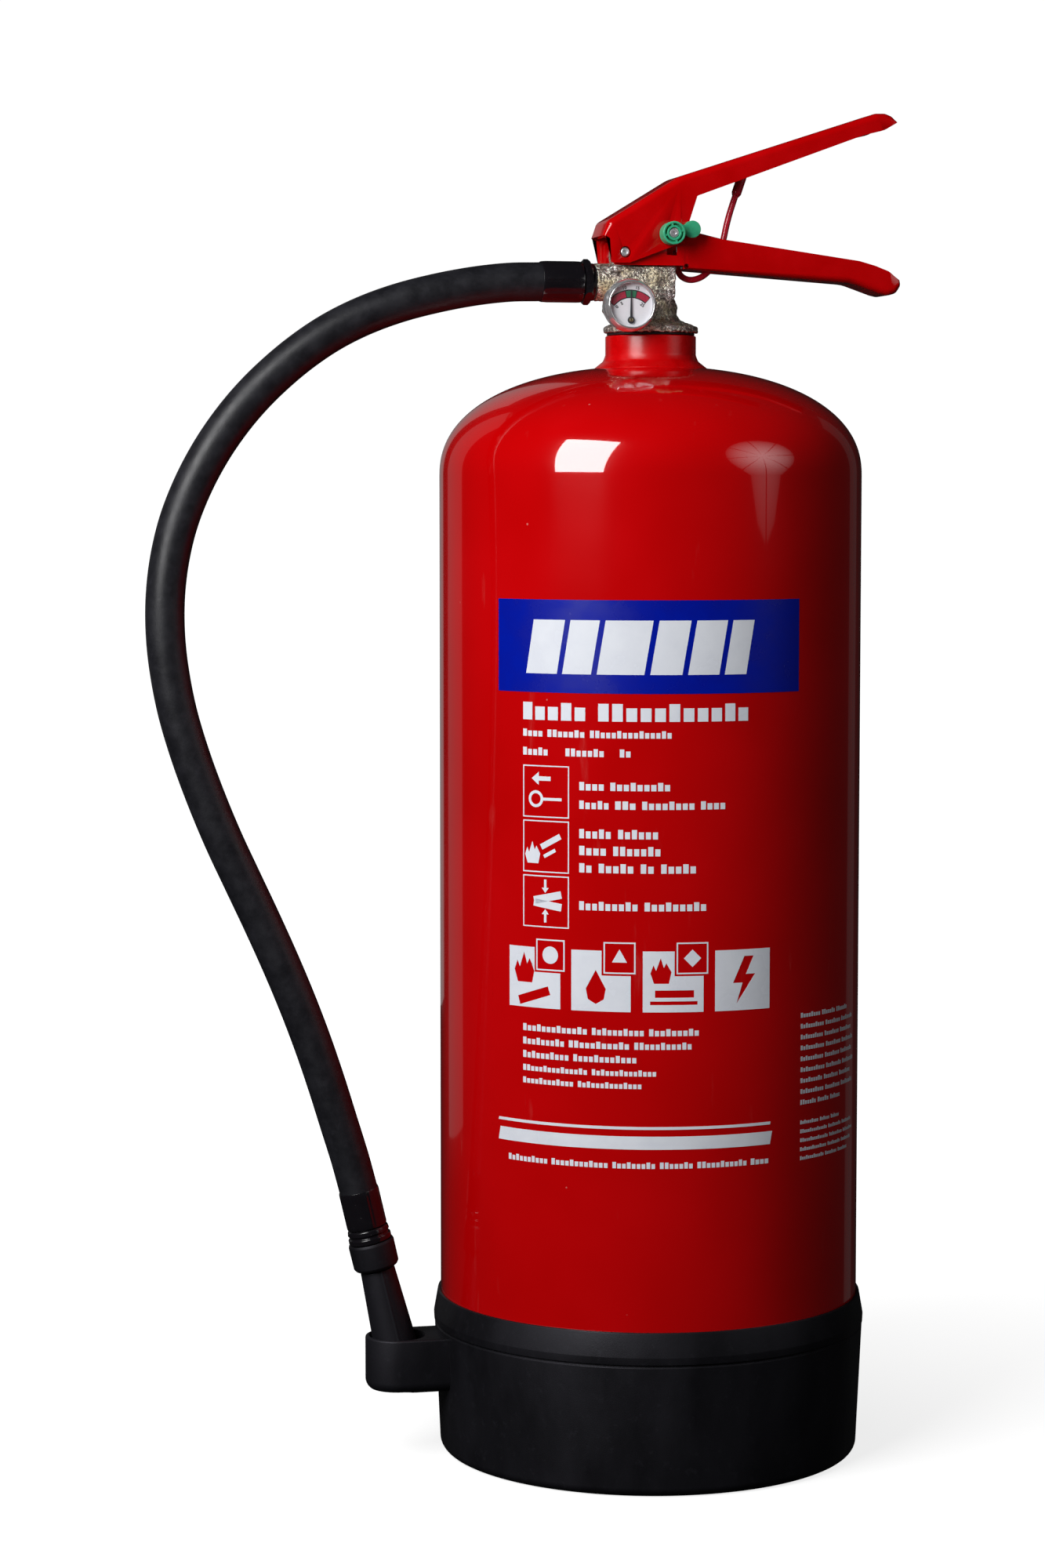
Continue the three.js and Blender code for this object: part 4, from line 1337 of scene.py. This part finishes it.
def make_nozzle():
    lower = ferrule("lower_ferrule", -16.4, 0, "high", 8.6, NOZZLE)
    piece(lower, "nozzle", BLACK, ["nozzle_ferrule"])
    swivel = [
        (4.6, -22.6), (9.2, -22.6, 0.3), (9.2, -20.6, 0.5), (8.5, -20.0, 0.3), (8.5, -19.4, 0.3),
        (9.0, -18.8, 0.3), (8.7, -17.2, 0.5), (8.2, -16.7, 0.2), (4.6, -16.7),
    ]
    piece(lathe("swivel_ring", swivel, 96, NOZZLE), "nozzle", BLACK, ["nozzle_ring"])
    collar = [
        (6.7, -34.7), (8.9, -34.7, 0.5), (9.75, -33.5, 0.8), (9.85, -24.0, 0.4), (9.5, -23.0, 0.3),
        (4.6, -23.0), (4.6, -25.7), (6.7, -25.7),
    ]
    piece(lathe("nozzle_cap", collar, 96, NOZZLE), "nozzle", BOOT, ["nozzle_collar"])
    mouth = -77.1

    def seam(radius, height, angle):
        """A thin mould line on each side."""
        off = min(abs(angle - s) for s in (math.radians(94), math.radians(274)))
        return radius + (0.2 if off < math.radians(2.1) and radius > 6 and height < -35 else 0)

    horn = [
        (3, -26), (3, -36, 3), (7.9, mouth, 0.4), (9.75, mouth, 0.6), (9.55, mouth + 2.5), (7.35, -35.4, 0.8),
        (6.4, -35.2), (6.4, -26),
    ]
    piece(lathe("horn", horn, 180, NOZZLE, seam), "nozzle", BOOT, ["nozzle_horn"], crease=60)


# ---- Printed panel on the cylinder ----

PANEL_AZIMUTH = -105.4  # the middle of the printed panel, in degrees from +X
PRINT_R = SHELL_R + 0.06


def degrees_to_mm(angle):
    return math.radians(angle) * SHELL_R


def print_shapes(name, shapes, ink, lift=0.0, thick=0.05, slice_width=2.0):
    """Flat shapes, each a list of loops of (mm across, height) with the outer loop first, wrapped round
    the cylinder as a thin skin of ink."""
    bm = bmesh.new()
    for loops in shapes:
        edges = []
        for loop in loops:
            verts = [bm.verts.new((p[0], p[1], 0)) for p in loop]
            edges += [bm.edges.new((a, b)) for a, b in zip(verts, verts[1:] + verts[:1])]
        bmesh.ops.triangle_fill(bm, use_beauty=True, edges=edges)
    across = [v.co.x for v in bm.verts]
    at = math.floor(min(across) / slice_width) * slice_width
    while at < max(across):
        geometry = bm.verts[:] + bm.edges[:] + bm.faces[:]
        bmesh.ops.bisect_plane(bm, geom=geometry, plane_co=(at, 0, 0), plane_no=(1, 0, 0), dist=1e-5)
        at += slice_width
    extruded = bmesh.ops.extrude_face_region(bm, geom=bm.faces[:])
    for item in extruded["geom"]:
        if isinstance(item, bmesh.types.BMVert):
            item.co.z = thick
    for vertex in bm.verts:
        u, v, w = vertex.co
        a = math.radians(PANEL_AZIMUTH) + u / SHELL_R
        r = PRINT_R + lift + w
        vertex.co = Vector((r * math.cos(a), r * math.sin(a), v)) * MM
    piece(object_of(name, bm), ROOT, ink, crease=30)


def block(u0, v0, u1, v1, slant=0.0):
    """A box, leaning to the right by slant for each unit of height."""
    lean = slant * (v1 - v0)
    return [(u0, v0), (u1, v0), (u1 + lean, v1), (u0 + lean, v1)]


def outline_box(u0, v0, u1, v1, line=0.5):
    return [block(u0, v0, u1, v1), block(u0 + line, v0 + line, u1 - line, v1 - line)]


def words(u0, v0, height, lengths, gap=None):
    """A line of plain blocks that stand for the letters of words. They spell nothing."""
    gap = gap or 0.6 * height
    pitch = 0.78 * height
    made = []
    for length in lengths:
        count = max(1, round(length / pitch))
        step = length / count
        for i in range(count):
            tall = height if (i + count) % 4 == 0 or i == 0 else 0.76 * height
            u = u0 + step * i
            made.append([block(u, v0, u + step - 0.2 * height, v0 + tall)])
        u0 += length + gap
    return made


def slanted_blocks(u0, v0, height, lengths, gap, slant):
    """The banner's row of equal, leaning blocks."""
    made = []
    for length in lengths:
        made.append([block(u0, v0, u0 + length, v0 + height, slant)])
        u0 += length + gap
    return made


def place_shape(points, u, v, size):
    return [(u + size * a, v + size * b) for a, b in points]


FLAME = [
    (-0.28, -0.5), (-0.42, -0.1), (-0.30, 0.22), (-0.20, 0.0), (-0.02, 0.5), (0.10, 0.12), (0.20, 0.30),
    (0.40, -0.05), (0.30, -0.5),
]
BOLT = [(0.02, 0.5), (0.24, 0.5), (0.06, 0.12), (0.28, 0.12), (-0.16, -0.5), (-0.02, -0.06), (-0.24, -0.06)]
DROP = [(0.0, 0.5), (0.30, -0.05), (0.24, -0.36), (0.0, -0.5), (-0.24, -0.36), (-0.30, -0.05)]
LOG = [(-0.5, -0.12), (0.5, -0.12), (0.5, 0.12), (-0.5, 0.12)]
ARROW = [(-0.5, 0.0), (-0.12, 0.3), (-0.12, 0.1), (0.5, 0.1), (0.5, -0.1), (-0.12, -0.1), (-0.12, -0.3)]


def turned_shape(points, angle):
    a = math.radians(angle)
    return [(x * math.cos(a) - y * math.sin(a), x * math.sin(a) + y * math.cos(a)) for x, y in points]


def make_print():
    left, right = degrees_to_mm(-43.2), degrees_to_mm(43.2)
    print_shapes("print_banner", [[block(left, 331.7, right, 369.6)]], BLUE_INK)
    bars = slanted_blocks(degrees_to_mm(-33.6), 339.4, 22.0, [14.5, 12.5, 19.5, 13, 13, 9.5], 2.4, 0.17)
    print_shapes("print_banner_bars", bars, WHITE_INK, lift=0.06)

    margin = degrees_to_mm(-34.6)
    text = degrees_to_mm(-18)
    shapes = words(margin, 320.4, 7.2, [30, 64], gap=4)
    shapes += words(margin, 313.6, 3.0, [10, 17, 34])
    for indent, length in ((0, 12.5), (20, 17), (43, 5)):
        shapes += words(margin + indent, 305.9, 3.2, [length])
    lines = [
        (292.2, 3.4, [11, 25]), (284.6, 3.4, [13, 9, 22, 11]), (272.6, 3.8, [14, 17]),
        (265.7, 3.8, [12, 20]), (258.6, 3.8, [6, 15, 6, 15]), (243.2, 3.6, [25, 26]),
    ]
    for v, height, lengths in lines:
        shapes += words(text, v, height, lengths)
    for bottom in (280.4, 257.8, 235.2):
        shapes.append(outline_box(margin, bottom, margin + 21.6, bottom + 21.4))
    shapes += pictograms(margin + 10.8)
    shapes += class_squares(degrees_to_mm(-39.2))
    small = [
        (192.0, 2.9, [30, 22, 21]), (186.4, 2.9, [20, 26, 24]), (180.8, 2.9, [22, 27]),
        (175.4, 2.5, [30, 27]), (170.2, 2.5, [24, 27]),
    ]
    for v, height, lengths in small:
        shapes += words(margin, v, height, lengths, gap=1.6)
    shapes.append([block(left, 145.2, right - degrees_to_mm(9), 150.6, 0.2)])
    shapes.append([block(left, 153.4, right - degrees_to_mm(9), 154.6, 0.2)])
    shapes += words(degrees_to_mm(-39.5), 137.3, 2.6, [20, 25, 18, 14, 22, 9], gap=1.5)
    side = degrees_to_mm(44.8)
    for i, length in enumerate((38, 46, 44, 47, 45, 48, 43, 46, 30)):
        thirds = [0.34 * length, 0.28 * length, 0.3 * length]
        shapes += words(side, 196.2 - 4.55 * i, 2.0, thirds, gap=1.1)
    for i, length in enumerate((30, 46, 48, 45, 40)):
        parts = [0.4 * length, 0.25 * length, 0.25 * length]
        shapes += words(side, 151.6 - 3.75 * i, 1.6, parts, gap=1.0)
    print_shapes("print_marks", shapes, WHITE_INK)


def pictograms(centre):
    """Three plain drawings: pull the pin, point the nozzle, squeeze the handles."""
    ring_out = [(0.5 * math.cos(a), 0.5 * math.sin(a)) for a in (math.tau * k / 20 for k in range(20))]
    shapes = [
        [place_shape(ARROW, centre - 2, 296.4, 9)],
        [place_shape(ring_out, centre - 4.5, 288, 7), place_shape(ring_out, centre - 4.5, 288, 4.6)],
        [block(centre - 1.2, 287.4, centre + 7.5, 288.6)],
        [place_shape(turned_shape(LOG, 28), centre + 2.5, 270.6, 10)],
        [place_shape(turned_shape(LOG, 28), centre + 2.0, 265.8, 6)],
        [place_shape(FLAME, centre - 6, 266, 9)],
    ]
    for v, turn in ((252.2, 90), (240.0, -90)):
        shapes.append([place_shape(turned_shape(ARROW, turn), centre, v, 5.5)])
    shapes.append([place_shape(turned_shape(LOG, 12), centre + 1, 247.6, 13)])
    shapes.append([place_shape(turned_shape(LOG, -8), centre + 1, 244.6, 13)])
    return shapes


def class_squares(first):
    """Four white squares with a plain sign left open in each, three with a small box at a corner."""
    size, pitch, bottom = 25.0, 29.9, 201.8
    signs = [
        [place_shape(FLAME, 0.32, 0.66, 0.5), place_shape(turned_shape(LOG, 18), 0.5, 0.2, 0.62)],
        [place_shape(DROP, 0.42, 0.4, 0.56)],
        [place_shape(FLAME, 0.3, 0.68, 0.42), block(0.2, 0.24, 0.84, 0.36), block(0.12, 0.12, 0.9, 0.18)],
        [place_shape(BOLT, 0.5, 0.5, 0.78)],
    ]
    shapes = []
    top = bottom + size
    for i, holes in enumerate(signs):
        u = first + pitch * i
        right = u + size
        if i == 3:
            outer = block(u, bottom, right, top)
        else:
            left, low = u + 0.55 * size, top - 9.4
            outer = [
                (u, bottom), (right, bottom), (right, low - 0.8), (left - 0.8, low - 0.8),
                (left - 0.8, top), (u, top),
            ]
            shapes.append(outline_box(left, low, left + 13.2, top + 3.6, 0.6))
            middle_u, middle_v = left + 6.6, low + 6.5
            sides = (24, 3, 4)[i]
            turns = [math.tau * k / sides + math.pi / 2 for k in range(sides)]
            shapes.append([[(middle_u + 3.6 * math.cos(t), middle_v + 3.6 * math.sin(t)) for t in turns]])
        shapes.append([outer] + [[(u + size * a, bottom + size * b) for a, b in hole] for hole in holes])
    return shapes


# ---- Pieces that are shown as the CAD model has them ----

INNER = {
    "powder_charge": POWDER, "dip_tube": TUBE, "spring_retainer": BRASS, "valve_stem": STEEL,
    "stem_seal": SEAL, "stem_o_ring": SEAL, "stem_gland": BRASS, "lever_pusher": STEEL,
    "gauge_socket": BRASS, "gauge_seal": SEAL, "gauge_bourdon_tube": BRASS, "hose_tailpiece": BRASS,
    "hose_seal": SEAL, "nozzle_tailpiece": BRASS,
}


add_camera()
make_hose()
add_studio()
make_cylinder()
make_boot()
make_valve()
make_spring()
make_carry_handle()
make_lever()
make_rivets()
make_safety_pin()
make_strap()
make_gauge()
make_needle()
make_fittings()
make_nozzle()
make_print()
for inner_node, inner_material in INNER.items():
    dress(inner_node, inner_material)
